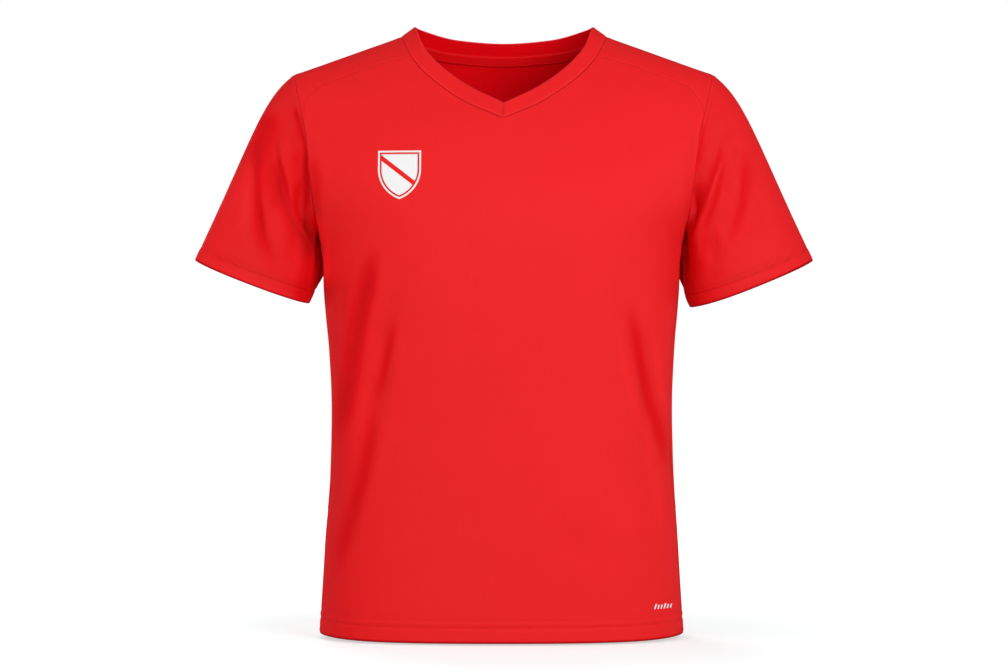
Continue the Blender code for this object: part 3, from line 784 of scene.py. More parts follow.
def sleeveForm(name):
    grid = readGrid(name, sleeveRow, closed=True)
    rings, points = grid.shape[0] - 1, grid.shape[1]
    downAt = nearSeams(places(rings, sleeve["down"]), cellLengths(grid, 0)[0], end=False)
    down = smoothLines(grid, downAt, {})
    nearSeam = fade(downAt, 0, sleeve["soften"])
    kinks = {0: nearSeam, points // 3: nearSeam, 2 * points // 3: nearSeam}
    around = smoothRings(down.transpose(1, 0, 2), places(points, sleeve["around"]), kinks)
    return Cloth(around.transpose(1, 0, 2), closed=True, sewn=(True, False, False, False))


def sleeveCreases(cloth, side, own):
    # the creases, the hollow beside the armhole seam, the hem and the seam
    facing = cloth.normals()[:, :, 1]
    behind = [{**drawn, "line": [(side * x, z) for x, z in drawn["line"]]} for drawn in sleeve["behind"]]
    height = creaseField(cloth.points, -facing, own["creases"]) * mm
    height += creaseField(cloth.points, facing, behind) * mm
    start, over, least = sleeve["toHem"]
    toHem = least + (1 - least) * softStep((cloth.hem - start * mm) / (over * mm))
    height *= clearOf(cloth.seam, sleeve["creasesFrom"]) * toHem
    hollow, share = own["hollow"], armholeShare(cloth.points)
    at = hollow["at"][0] + (hollow["at"][1] - hollow["at"][0]) * share**2
    off = cloth.seam / mm - at
    beside = hump(off / np.where(off < 0, hollow["toSeam"] * at, hollow["away"]))
    upright = softStep(np.abs(facing) * sleeve["upright"]) * clearOf(cloth.seam, sleeve["hollowFrom"])
    height -= hollow["deep"] * mm * beside * share * upright
    flatter, wide = sleeve["hemUnder"]
    hemmed = hemHeight(cloth.hem, cloth.u, sleeve["hem"]) * (1 - flatter * hump(cloth.under / (wide * mm)))
    height += hemmed * clearOf(cloth.seam, sleeve["hemFrom"])
    return height + seamHeight(cloth.seam)


def sleeveRoll(cloth, facing):
    # how far the cloth under the arm rolls back, towards the front or the back
    roll = sleeve["roll"]
    low = below(cloth.points[:, :, 2] / mm, *roll["from"])
    low = low * clearOf(cloth.seam, roll["seam"]) * clearOf(cloth.hem, roll["hem"])
    rolled = hump((cloth.under / mm - roll["at"]) / roll["wide"]) * low
    return np.sign(facing) * roll["deep"] * mm * rolled * clearOf(cloth.under, roll["middle"])


def sleeveTuck(cloth, side, own):
    # painted shade beside the body, where the cloth is painted darker, and painted light along its outer side
    tuck, aside, z = sleeve["tuck"], side * cloth.points[:, :, 0] / mm, cloth.points[:, :, 2] / mm
    levels = np.linspace(z.min(), z.max(), tuck["levels"])
    rings = [aside[np.abs(z - level) < tuck["near"]] for level in levels]
    dark, at, wide = own["tuck"]
    out = aside - np.interp(z, levels, [ring.min() for ring in rings])
    shade = dark * hump((out - at) / wide) * below(z, *tuck["from"])
    shade *= 1 - tuck["less"] * below(z, *tuck["weaker"])
    light, wide = own["outer"]
    within = np.interp(z, levels, [ring.max() for ring in rings]) - aside
    return shade, light * hump(within / wide) * below(z, *tuck["outer"])


def sleeveDrape(cloth, side, normals, body):
    # how far the cloth swings in towards the body behind the body's widest line
    drape, z, y = sleeve["drape"], cloth.points[:, :, 2] / mm, cloth.points[:, :, 1] / mm
    steep, more = drape["inner"]
    toBody = softStep(-side * normals[:, :, 0] * steep + more)
    rear = above(y, *drape["start"]) * below(y, *drape["end"])
    hangs = clearOf(cloth.seam, drape["seam"]) * np.clip(cloth.hem / (drape["hem"] * mm), 0, 1)
    swing = drape["in"] * mm * toBody * rear * (hangs * below(z, *drape["from"]))
    for j, i in zip(*np.nonzero(swing > drape["least"] * mm)):
        gap = body.ray_cast(Vector(cloth.points[j, i]), Vector((-side, 0, 0)))[3]
        if gap is not None and gap < drape["reach"] * mm:
            swing[j, i] = min(swing[j, i], max(gap - drape["clear"] * mm, 0))
    return swing


def sleeveFinish(cloth, side, body):
    own = sleeve["left"] if side > 0 else sleeve["right"]
    normals = cloth.normals()
    cloth.seam = cloth.distanceTo(cloth.points[0])
    cloth.hem = cloth.v[-1][None, :] - cloth.v
    cloth.under = np.minimum(cloth.u, cloth.u[:, -1:] - cloth.u)
    # painted shade along the folds, and painted light where a line is negative
    shades = creaseField(cloth.points, -normals[:, :, 1], own["shades"])
    cloth.push(sleeveCreases(cloth, side, own))
    cloth.points[:, :, 1] -= sleeveRoll(cloth, normals[:, :, 1])
    dark, light = sleeveTuck(cloth, side, own)
    # painted shade beside the body and along the folds, less the painted light along the outer side
    cloth.tuck = dark + shades - light
    cloth.points[:, :, 0] -= side * sleeveDrape(cloth, side, normals, body)
    low = below(cloth.points[:, :, 2] / mm, *sleeve["tip"]["from"])
    cloth.points[:, :, 0] -= side * own["tip"] * mm * low * hump(cloth.under / (sleeve["tip"]["wide"] * mm))
    cloth.v, cloth.fold = -cloth.hem, sleeve["hem"]


insert = {"cells": 8, "fine": 8}


def insertForm(name):
    grid = readGrid(name, insertRow)
    at = places(insert["cells"], insert["fine"])
    over = smoothLines(grid, nearSeams(at, cellLengths(grid, 0)[0]), {})
    across = smoothLines(over.transpose(1, 0, 2), nearSeams(at, cellLengths(grid, 1)[0]), {})
    return Cloth(across.transpose(1, 0, 2), sewn=(True, True, True, True))


def insertFinish(cloth):
    cloth.seam = cloth.distanceTo(np.concatenate(cloth.edges(cloth.points)))
    cloth.firm = 1 - seams["flat"]
    cloth.push(seamHeight(cloth.seam, cloth.firm))


# The collar's fine columns and rows to a cell, and the columns where the shoulder seams meet it; how much it
# stands out, rolls over and sinks at the mitre, in millimetres; places and widths as shares of its width; and
# how light the painted highlight along the fold at its edge is.
collarBand = {
    "around": 8, "rows": 14, "joins": (6, 14, 26, 34), "seam": 0.5, "fullness": 0.25, "fullPower": 0.8,
    "roll": 0.9, "rollWide": 0.07, "lip": 0.45, "lipAt": 0.9, "lipWide": 0.06, "mitre": 0.7, "mitreWide": 1.2,
    "foldAt": (0.91, 0.05), "foldLight": 0.8,
}


def collarForm():
    grid = readGrid("collar", collarRow, closed=True)
    upAt = places(2, collarBand["rows"])
    up = smoothLines(grid, upAt, {})
    kinks = {0: np.ones(len(upAt)), **{join: fade(upAt, 0, 1) for join in collarBand["joins"]}}
    around = smoothRings(up.transpose(1, 0, 2), places(grid.shape[1], collarBand["around"]), kinks)
    return Cloth(around.transpose(1, 0, 2), closed=True, sewn=(True, False, False, False))


def collarFinish(cloth):
    kit = collarBand
    cloth.seam = cloth.distanceTo(cloth.points[0])
    cloth.hem = cloth.v[-1][None, :] - cloth.v
    share = cloth.v / cloth.v[-1]
    cloth.mitre = np.minimum(cloth.u, cloth.u[:, -1:] - cloth.u)
    # painted highlight along the fold at the collar's edge
    cloth.foldEdge = kit["foldLight"] * above(share, *kit["foldAt"])
    height = seamHeight(cloth.seam, kit["seam"])
    height += kit["fullness"] * mm * np.sin(math.pi * share) ** kit["fullPower"]
    height -= kit["roll"] * mm * hump((share - 1) / kit["rollWide"])
    height += kit["lip"] * mm * hump((share - kit["lipAt"]) / kit["lipWide"])
    height -= kit["mitre"] * mm * hump(cloth.mitre / (kit["mitreWide"] * mm))
    cloth.push(height)


# The tape's lines above its lower edge, and how far it laps up over the seam, as a share of its width.
tape = {
    "lines": (0.6, 3.4, 6.2), "lineWide": 0.6, "over": 0.16, "rows": 10, "fine": 8,
    "puff": 0.25, "puffOver": 2,
}


def topRow(skin):
    # the tape's upper edge
    loop = edgeLoops(skin)[0]
    ends = sorted(loop, key=lambda v: v.co.x)
    return between(loop, *(max(pair, key=lambda v: v.co.z) for pair in (ends[:2], ends[-2:])))


def tapeForm():
    grid = readGrid("neck_tape", topRow)
    share = np.linspace(-tape["over"], 1, tape["rows"])[:, None, None]
    rows = grid[0] * (1 - share) + grid[1] * share
    across = smoothLines(rows.transpose(1, 0, 2), places(grid.shape[1] - 1, tape["fine"]), {})
    return Cloth(across.transpose(1, 0, 2))


def tapeFinish(cloth):
    edge = cloth.distanceTo(np.concatenate([cloth.points[0], cloth.points[-1]]))
    cloth.push(tape["puff"] * mm * clearOf(edge, tape["puffOver"]))
    low = (cloth.points[:, :, 2] - cloth.points[:, :, 2].min(axis=0)) / mm
    cloth.lines = sum(hump((low - at) / tape["lineWide"]) for at in tape["lines"])
    # its own edges aren't pressed seams
    cloth.seam = np.full_like(edge, 1.0)


cloths = {
    **{name: panelForm(name) for name in ("front", "back")},
    **{name: sleeveForm(name) for name in ("sleeve_right", "sleeve_left")},
    **{name: insertForm(name) for name in ("shoulder_right", "shoulder_left")},
    "collar": collarForm(),
    "neck_tape": tapeForm(),
}
sewnOn = {key: cloth for key, cloth in cloths.items() if any(cloth.sewn)}
met = {key: meetOn(cloth, [c for k, c in sewnOn.items() if k != key]) for key, cloth in sewnOn.items()}
for key, points in met.items():
    cloths[key].points = points
    cloths[key].measure()
print("seams brought together:", ", ".join(met))

panelFinish(cloths["front"], frontPanel, -1)
panelFinish(cloths["back"], backPanel, 1)
body = treeOf([cloths["front"], cloths["back"]])
sleeveFinish(cloths["sleeve_right"], -1, body)
sleeveFinish(cloths["sleeve_left"], 1, body)
for name in ("shoulder_right", "shoulder_left"):
    insertFinish(cloths[name])
collarFinish(cloths["collar"])
tapeFinish(cloths["neck_tape"])
print("cloth formed:", ", ".join(cloths))


# Materials.

def give(tree, socket, value):
    # a socket's own value, or a link from another node
    if isinstance(value, bpy.types.NodeSocket):
        tree.links.new(value, socket)
    else:
        socket.default_value = value


def newNode(tree, kind, inputs={}, out=0, **settings):
    node = tree.nodes.new("ShaderNode" + kind)
    for key, value in settings.items():
        setattr(node, key, value)
    for key, value in inputs.items():
        give(tree, node.inputs[key], value)
    return node.outputs[out]


def mathNode(tree, operation, *values, clamp=False):
    return newNode(tree, "Math", dict(enumerate(values)), operation=operation, use_clamp=clamp)


def mixColours(tree, factor, a, b):
    return newNode(tree, "Mix", {"Factor": factor, 6: a, 7: b}, out=2, data_type="RGBA")


def scaled(tree, colour, factor):
    return newNode(tree, "VectorMath", {0: colour, "Scale": factor}, operation="SCALE")


def noiseOf(tree, vector, scale, detail, roughness=0.5):
    inputs = {"Vector": vector, "Scale": scale, "Detail": detail, "Roughness": roughness}
    return newNode(tree, "TexNoise", inputs, out="Fac")


def objectPlace(tree):
    return newNode(tree, "TexCoord", out="Object")


def newGroup(name, inputs, outputs):
    # a group whose inputs without a default are vectors
    tree = bpy.data.node_groups.new(name, "ShaderNodeTree")
    for key, default in inputs.items():
        kind = "NodeSocketVector" if default is None else "NodeSocketFloat"
        socket = tree.interface.new_socket(key, in_out="INPUT", socket_type=kind)
        if default is not None:
            socket.default_value = default
    for key in outputs:
        tree.interface.new_socket(key, in_out="OUTPUT", socket_type="NodeSocketFloat")
    return tree, tree.nodes.new("NodeGroupInput").outputs, tree.nodes.new("NodeGroupOutput").inputs


# A loop's default columns and rows in metres, how far its legs slant, and how round its yarn is.
loops = {"wale": 0.00062, "course": 0.00050, "slant": 1.3, "round": 0.6}
# The scales of the patches, the mottle and the streaks, in turns for each metre.
yarn = {"patches": 9.0, "mottle": 420.0, "mottleRough": 0.7, "streaks": (900.0, 26.0, 1.0)}


def knitLoops():
    # the face of a plain jersey: columns of small V-shaped loops, given the cloth's own metres
    sizes = {"Cloth": None, "Wale": loops["wale"], "Course": loops["course"]}
    tree, given, out = newGroup("knitLoops", sizes, ("Height", "Shade"))
    along, up = (newNode(tree, "SeparateXYZ", {0: given["Cloth"]}, out=i) for i in (0, 1))
    column = mathNode(tree, "FRACT", mathNode(tree, "DIVIDE", along, given["Wale"]))
    row = mathNode(tree, "DIVIDE", up, given["Course"])
    fromMiddle = mathNode(tree, "ABSOLUTE", mathNode(tree, "SUBTRACT", column, 0.5))
    leg = mathNode(tree, "SINE", mathNode(tree, "MULTIPLY", fromMiddle, 2 * math.pi))
    slant = mathNode(tree, "ADD", row, mathNode(tree, "MULTIPLY", fromMiddle, loops["slant"]))
    ply = mathNode(tree, "SINE", mathNode(tree, "MULTIPLY", mathNode(tree, "FRACT", slant), math.pi))
    height = mathNode(tree, "MULTIPLY", leg, mathNode(tree, "POWER", ply, loops["round"]))
    give(tree, out["Height"], height)
    give(tree, out["Shade"], mathNode(tree, "SUBTRACT", 1.0, height, clamp=True))
    return tree


def yarnTone():
    # uneven dye and yarn: broad soft patches, a fine mottle and faint lengthways streaks
    inputs = {"Place": None, "Cloth": None, "Broad": 0.05, "Fine": 0.05}
    tree, given, out = newGroup("yarnTone", inputs, ("Tone",))
    stretched = newNode(tree, "Mapping", {"Vector": given["Cloth"], "Scale": yarn["streaks"]})
    noises = (
        noiseOf(tree, given["Place"], yarn["patches"], 3.0),
        noiseOf(tree, given["Place"], yarn["mottle"], 3.0, yarn["mottleRough"]),
        noiseOf(tree, stretched, 1.0, 2.0),
    )
    broad, mottle, streaks = (mathNode(tree, "SUBTRACT", noise, 0.5) for noise in noises)
    broad = mathNode(tree, "MULTIPLY", broad, given["Broad"])
    fine = mathNode(tree, "MULTIPLY", mathNode(tree, "ADD", mottle, streaks), given["Fine"])
    give(tree, out["Tone"], mathNode(tree, "ADD", 1.0, mathNode(tree, "ADD", broad, fine)))
    return tree


groups = {"knit": knitLoops(), "tone": yarnTone()}


def placeGroup(tree, key, **inputs):
    node = tree.nodes.new("ShaderNodeGroup")
    node.node_tree = groups[key]
    for name, value in inputs.items():
        give(tree, node.inputs[name], value)
    return node.outputs


def newMaterial(name, roughness, specular, sheen=0.0, sheenRoughness=0.5, sheenTint=(1, 1, 1, 1)):
    material = bpy.data.materials.new(name)
    material.use_nodes = True
    shader = material.node_tree.nodes["Principled BSDF"].inputs
    shader["Roughness"].default_value = roughness
    shader["Specular IOR Level"].default_value = specular
    shader["Sheen Weight"].default_value = sheen
    shader["Sheen Roughness"].default_value = sheenRoughness
    shader["Sheen Tint"].default_value = sheenTint
    return material, material.node_tree, shader


def bumpOn(tree, shader, height, strength, deep):
    inputs = {"Strength": strength, "Distance": deep, "Height": height}
    give(tree, shader["Normal"], newNode(tree, "Bump", inputs))


# the reds: the sleeves' knit is the face's, painted darker as painted shade, and the inside is painted lighter
# as painted light; pure and deep colour the painted shade (deep also the loops and the thread), and the one
# after them the painted highlight
red = {
    "face": (0.845, 0.0125, 0.0150, 1), "sleeve": (0.795, 0.0105, 0.0135, 1),
    "collar": (0.840, 0.0125, 0.0150, 1), "inside": (0.900, 0.0010, 0.0060, 1),
    "tape": (0.900, 0.0030, 0.0070, 1), "thread": (0.880, 0.0100, 0.0150, 1),
    "pure": (0.845, 0.0010, 0.0045, 1), "deep": (0.520, 0.0006, 0.0020, 1),
    "rubbed": (0.950, 0.0300, 0.0380, 1), "sheen": (1.0, 0.04, 0.05, 1),
}
# All the knits: their gloss and loops; how much the loops and the painted shading darken, purify and dull
# the cloth; and how much duller it is where it turns away.
knit = {
    "sheen": 0.03, "rough": 0.50, "bump": 0.6, "deep": 0.00012, "broad": 0.05, "fine": 0.05,
    "loopShade": 0.10, "loopRough": 0.12, "purer": 7.0, "dimmed": 0.3, "tuckRough": 0.35, "turnedRough": 0.45,
}


def clothMaterial(name, colour, wale, course, shade=0.45, pressed=1.0, specular=0.13, glow=0.0):
    material, tree, shader = newMaterial(name, knit["rough"], specular, knit["sheen"], 0.5, red["sheen"])
    uv = newNode(tree, "UVMap", uv_map="clothUv")
    place = objectPlace(tree)
    tone = placeGroup(tree, "tone", Place=place, Cloth=uv, Broad=knit["broad"], Fine=knit["fine"])["Tone"]
    loop = placeGroup(tree, "knit", Cloth=uv, Wale=wale, Course=course)
    seam, tuck, rub, through = (
        newNode(tree, "Attribute", out="Fac", attribute_name=key)
        for key in ("seamShade", "tuck", "rub", "through")
    )
    dark = mathNode(tree, "ADD", mathNode(tree, "MULTIPLY", loop["Shade"], knit["loopShade"]), tuck)
    dark = mathNode(tree, "ADD", dark, mathNode(tree, "MULTIPLY", seam, shade), clamp=True)
    # painted shade: where the cloth is painted darker its red is purer as well, and its tone dims;
    # painted light raises the tone
    purer = mathNode(tree, "MULTIPLY", tuck, knit["purer"], clamp=True)
    base = mixColours(tree, dark, mixColours(tree, purer, colour, red["pure"]), red["deep"])
    # painted highlight beside the seams and along the fold at the collar's edge; none on the inside
    base = mixColours(tree, mathNode(tree, "MULTIPLY", rub, pressed), base, red["rubbed"])
    dimmed = mathNode(tree, "SUBTRACT", 1.0, mathNode(tree, "MULTIPLY", tuck, knit["dimmed"]))
    give(tree, shader["Base Color"], scaled(tree, base, mathNode(tree, "MULTIPLY", tone, dimmed)))
    bumpOn(tree, shader, loop["Height"], knit["bump"], knit["deep"])
    # a knit has hardly any gloss in its folds and where it turns away
    turned = mathNode(tree, "POWER", newNode(tree, "LayerWeight", out="Facing"), 3.0)
    rough = mathNode(tree, "ADD", knit["rough"], mathNode(tree, "MULTIPLY", loop["Shade"], knit["loopRough"]))
    for amount, share in ((tuck, knit["tuckRough"]), (turned, knit["turnedRough"])):
        rough = mathNode(tree, "ADD", rough, mathNode(tree, "MULTIPLY", amount, share), clamp=True)
    give(tree, shader["Roughness"], rough)
    # painted light: the cloth glows in its own red beside the arms, and a little all over on the inside
    give(tree, shader["Emission Color"], scaled(tree, colour[:3], mathNode(tree, "ADD", through, glow)))
    shader["Emission Strength"].default_value = 1.0
    return material


white = {
    "fresh": (0.90, 0.89, 0.89, 1), "worn": (0.82, 0.79, 0.79, 1),
    "mottle": 900.0, "rough": 0.36, "rougher": 0.16, "bump": 0.25, "deep": 0.00006,
}


def filmMaterial():
    # heat-pressed white film: smooth, with the knit just showing through
    material, tree, shader = newMaterial("whiteFilm", 0.42, 0.4)
    place = objectPlace(tree)
    mottle = noiseOf(tree, place, white["mottle"], 3.0, 0.6)
    give(tree, shader["Base Color"], mixColours(tree, mottle, white["fresh"], white["worn"]))
    # the knit's pattern runs along x and z
    x, z = (newNode(tree, "SeparateXYZ", {0: place}, out=i) for i in (0, 2))
    loop = placeGroup(tree, "knit", Cloth=newNode(tree, "CombineXYZ", {0: x, 1: z}))
    bumpOn(tree, shader, loop["Height"], white["bump"], white["deep"])
    rough = mathNode(tree, "ADD", white["rough"], mathNode(tree, "MULTIPLY", mottle, white["rougher"]))
    give(tree, shader["Roughness"], rough)
    return material


# Stitching: short threads pressed into the cloth along the hems. Sizes are in millimetres, with the heights of
# the two lines above the hem and the cuff; each line stops a margin short of its end.
thread = {
    "pitch": 3.1, "long": 2.3, "wide": 0.42, "high": 0.30, "sunk": 0.10, "margin": 2, "ahead": 0.4,
    "hem": (16.6, 25), "cuff": (14.8, 19.5), "batches": 8,
    "twist": 900.0, "uneven": 1.5, "bump": 0.3, "deep": 0.00005, "sheen": (1.0, 0.4, 0.4, 1),
}


def threadMaterial():
    # twisted polyester thread, a little brighter than the cloth
    material, tree, shader = newMaterial("redThread", 0.42, 0.3, 0.05, 0.4, thread["sheen"])
    inputs = {"Vector": objectPlace(tree), "Scale": thread["twist"], "Distortion": thread["uneven"]}
    twist = newNode(tree, "TexWave", inputs, out="Fac")
    give(tree, shader["Base Color"], mixColours(tree, twist, red["thread"], red["deep"]))
    bumpOn(tree, shader, twist, thread["bump"], thread["deep"])
    return material


# the materials; each knit has its colour, then the width of its columns and the height of its rows in metres
finishes = {
    "film": filmMaterial(),
    "thread": threadMaterial(),
    "face": clothMaterial("redKnitFace", red["face"], 0.00062, 0.00050),
    # the sleeves' knit is the face's, painted darker as painted shade
    "sleeve": clothMaterial("redKnitSleeve", red["sleeve"], 0.00062, 0.00050),
    # the inside is painted lighter and glows a little, as painted light
    "inside": clothMaterial(
        "redKnitInside", red["inside"], 0.00090, 0.00042, shade=0.1, pressed=0.0, specular=0.06, glow=0.03
    ),
    "collar": clothMaterial("redRibCollar", red["collar"], 0.00110, 0.00060),
    "tape": clothMaterial("redHerringboneTape", red["tape"], 0.00150, 0.00100, shade=0.35, specular=0.1),
}
print("materials made:", ", ".join(finishes))


# How dark the painted shade is along the outline, the seams and the edges, and how wide its lines are in
# millimetres; how near the outline it lies; and the painted highlight beside a seam: how light, how far from
# the seam and how wide.
edges = {
    "fold": 0.65, "turn": 0.12, "hem": 1.1, "hemWide": 1.4, "rim": 0.9, "line": 1.0, "secondShare": 0.5,
    "second": 0.8, "mitre": 0.8, "ridge": (0.3, 1.9, 0.8),
}


def seamShade(cloth):
    # painted shade in the grooves of the seams, the mitre and the hems' stitching, and along the hems' edges;
    # the tape's dark lines are added as well
    shade = hump(cloth.seam / (edges["line"] * mm)) * getattr(cloth, "firm", 1.0)
    if hasattr(cloth, "fold"):
        fold, up = cloth.fold, cloth.hem / mm
        second = edges["secondShare"] * fold["line"]
        shade = np.maximum(shade, fold["line"] * hump((up - fold["deep"]) / edges["line"]))
        shade = np.maximum(shade, second * hump((up - fold["second"]) / edges["second"]))
        shade = np.maximum(shade, fold["edge"] * hump(up / edges["rim"]))
    if hasattr(cloth, "lines"):
        shade = np.maximum(shade, cloth.lines)
    if hasattr(cloth, "mitre"):
        shade = np.maximum(shade, edges["mitre"] * hump(cloth.mitre / (edges["mitre"] * mm)))
    return shade


def edgeShade(cloth):
    # painted shade: thin dark lines at the hems' edges and where the cloth turns edge-on, along its outline
    shade = edges["fold"] * getattr(cloth, "folded", 1.0) * hump(cloth.normals()[:, :, 1] / edges["turn"])
    if hasattr(cloth, "fold"):
        shade = np.maximum(shade, edges["hem"] * hump(cloth.hem / mm / edges["hemWide"]))
    return shade


def rubbed(cloth):
    # painted highlight: a line a little lighter beside each seam, and along the fold at the collar's edge
    light, at, wide = edges["ridge"]
    rub = light * hump((cloth.seam / mm - at) / wide) * getattr(cloth, "firm", 1.0)
    return np.maximum(rub, cloth.foldEdge) if hasattr(cloth, "foldEdge") else rub


# the pieces by the node each replaces: name, thickness, outer and inner material, and slot
shown = {
    "front": ("frontPanel", 0.75, "face", "inside", "red_knit"),
    "back": ("backPanel", 0.75, "face", "inside", "red_knit"),
    "sleeve_right": ("rightSleeve", 0.75, "sleeve", "inside", "red_knit"),
    "sleeve_left": ("leftSleeve", 0.75, "sleeve", "inside", "red_knit"),
    "shoulder_right": ("rightShoulder", 0.75, "face", "inside", "red_knit"),
    "shoulder_left": ("leftShoulder", 0.75, "face", "inside", "red_knit"),
    "collar": ("collarBand", 1.6, "collar", "inside", "red_collar"),
    "neck_tape": ("neckTape", 0.6, "tape", "tape", "red_tape"),
}


def finishPiece(node, name, thick, outer, inner, slot):
    cloth = cloths[node]
    # all the painted shade and painted light, with the painted shade at the outline and the hems' edges
    tuck = getattr(cloth, "tuck", 0) + edgeShade(cloth)
    through = getattr(cloth, "through", cloth.seam * 0)
    cloth.fields = {"seamShade": seamShade(cloth), "tuck": tuck, "rub": rubbed(cloth), "through": through}
    piece = meshFrom(name, turnedIn(cloth))
    piece.data.materials.append(finishes[outer])
    piece.data.materials.append(finishes[inner])
    shell = piece.modifiers.new("wall", "SOLIDIFY")
    shell.thickness = thick * mm
    shell.offset = -1
    shell.material_offset = 1
    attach(piece, "root")
    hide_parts(node)
    return piece


pieces = {node: finishPiece(node, *looks) for node, looks in shown.items()}
print("pieces shown:", ", ".join(piece.name for piece in pieces.values()))


# Printed marks: thin white film laid on the front's creased cloth. Widths are in millimetres and the slant in
# degrees; the rest are shares of a print's height or of the way from dash to dash.
film = {
    "thick": 0.22, "lift": 0.10, "merge": 0.02, "border": 2.0, "gap": 1.9, "band": 5.0, "bandSlant": 38,
    "bandAt": 0.56, "straight": 0.62, "dashes": 6, "dashWide": 0.42, "lean": 0.3, "short": 0.8,
    # columns and rows of cells
    "field": (24, 30), "outline": (160, 2), "dash": (2, 5),
    # what share of the border's cells lies along the top, and of a side's cells along its straight part
    "topCells": 0.25, "straightCells": 0.3,
}


def layOnFront(flat, name):
    # a flat shape in x and z is dropped onto the front panel and made a film
    front = bmesh.new()
    front.from_mesh(pieces["front"].data)
    tree = BVHTree.FromBMesh(front)
    for vert in flat.verts:
        hit, normal, _, _ = tree.ray_cast(Vector((vert.co.x, -1.0, vert.co.z)), Vector((0, 1, 0)))
        vert.co = hit + normal * (film["lift"] + film["thick"]) * mm
    front.free()
    bmesh.ops.remove_doubles(flat, verts=flat.verts[:], dist=film["merge"] * mm)
    bmesh.ops.recalc_face_normals(flat, faces=flat.faces[:])
    if sum(face.normal.y * face.calc_area() for face in flat.faces) > 0:
        bmesh.ops.reverse_faces(flat, faces=flat.faces[:])
    piece = objectOf(name, meshOf(name, flat))
    piece.data.materials.append(finishes["film"])
    wall = piece.modifiers.new("film", "SOLIDIFY")
    wall.thickness, wall.offset = film["thick"] * mm, -1
    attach(piece, "root")
    return piece


def gridPoints(shape, columns, rows):
    # a new grid's vertices, each with how far across and how far up it is, from 0 to 1
    for vert in bmesh.ops.create_grid(shape, x_segments=columns, y_segments=rows, size=0.5)["verts"]:
        yield vert, vert.co.x + 0.5, vert.co.y + 0.5


def shieldEdge(share, inset, size):
    # a point of a shield's outline, round from its upper left corner, drawn in by so much
    half, top, arc = size["width"] / 2 - inset, size["height"] - inset, size["radius"] - inset
    topCells, side = film["topCells"], (1 - film["topCells"]) / 2
    if share < topCells:
        return (2 * share / topCells - 1) * half, top
    right = 1 if share < topCells + side else -1
    down = (share - topCells) / side if right > 0 else (1 - share) / side
    if down < film["straightCells"]:
        return right * half, top + (size["straight"] - top) * down / film["straightCells"]
    angle = math.acos(size["centre"] / arc) * (down - film["straightCells"]) / (1 - film["straightCells"])
    return right * (arc * math.cos(angle) - size["centre"]), size["straight"] - arc * math.sin(angle)


def shieldPrint():
    low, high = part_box("chest_print")
    width, height = high[0] - low[0], high[2] - low[2]
    middle, straight = (low[0] + high[0]) / 2, film["straight"] * height
    radius = (width**2 / 4 + straight**2) / width
    centre = radius - width / 2
    size = {"width": width, "height": height, "straight": straight, "radius": radius, "centre": centre}
    shield = bmesh.new()
    inset = (film["border"] + film["gap"]) * mm
    lowest = straight - math.sqrt((radius - inset) ** 2 - centre**2)
    for vert, over, up in gridPoints(shield, *film["field"]):
        # the inner field, row by row between its two edges
        z = lowest + up * (height - inset - lowest)
        reach = math.sqrt(max((radius - inset) ** 2 - min(z - straight, 0) ** 2, 0)) - centre
        vert.co = (middle + 2 * (over - 0.5) * max(reach, 0), 0, low[2] + z)
    slant = math.radians(film["bandSlant"])
    across = Vector((math.sin(slant), 0, math.cos(slant)))
    bandAt, half = Vector((middle, 0, low[2] + film["bandAt"] * height)), film["band"] * mm / 2
    for edge in (-half, half):
        parts = shield.faces[:] + shield.edges[:] + shield.verts[:]
        bmesh.ops.bisect_plane(shield, geom=parts, plane_co=bandAt + across * edge, plane_no=across)
    inBand = [f for f in shield.faces if abs((f.calc_center_median() - bandAt).dot(across)) < half]
    bmesh.ops.delete(shield, geom=inBand, context="FACES")
    for vert, over, up in gridPoints(shield, *film["outline"]):
        # the border, a strip that follows the outline
        x, z = shieldEdge(over, (1 - up) * film["border"] * mm, size)
        vert.co = (middle + x, 0, low[2] + z)
    piece = layOnFront(shield, "chestShield")
    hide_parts("chest_print")
    return piece


def hemDashes():
    low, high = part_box("hem_print")
    dashes = bmesh.new()
    count, lean, full = film["dashes"], film["lean"], high[2] - low[2]
    pitch = (high[0] - low[0] - lean * full) / (count - 1 + film["dashWide"])
    for i in range(count):
        tall = full * (1.0 if i % 3 == 0 else film["short"])
        for vert, over, up in gridPoints(dashes, *film["dash"]):
            x = low[0] + (i + over * film["dashWide"]) * pitch + lean * tall * up
            vert.co = (x, 0, low[2] + up * tall)
    piece = layOnFront(dashes, "hemDashes")
    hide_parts("hem_print")
    return piece


chestPrint, hemPrint = shieldPrint(), hemDashes()
print("prints laid on the front")


def levelLine(cloth, deep):
    # the line at one height above a hem, with the cloth's outward direction along it
    normals = cloth.normals()
    rows = np.argsort(cloth.hem, axis=0)
    hem = np.take_along_axis(cloth.hem, rows, axis=0)
    line, way = [], []
    for j in range(cloth.points.shape[1]):
        order = rows[:, j]
        line.append([np.interp(deep * mm, hem[:, j], cloth.points[order, j, k]) for k in range(3)])
        way.append([np.interp(deep * mm, hem[:, j], normals[order, j, k]) for k in range(3)])
    return np.array(line), np.array(way)


def oneStitch(batch, spot, along, out):
    turn = Matrix((along, out.cross(along), out)).transposed().to_4x4()
    size = Matrix.Diagonal((thread["long"] / 2, thread["wide"] / 2, thread["high"] / 2, 1 / mm)) * mm
    place = Matrix.Translation(spot + out * (thread["high"] / 2 - thread["sunk"]) * mm) @ turn @ size
    bmesh.ops.create_uvsphere(batch, u_segments=6, v_segments=4, radius=1, matrix=place)


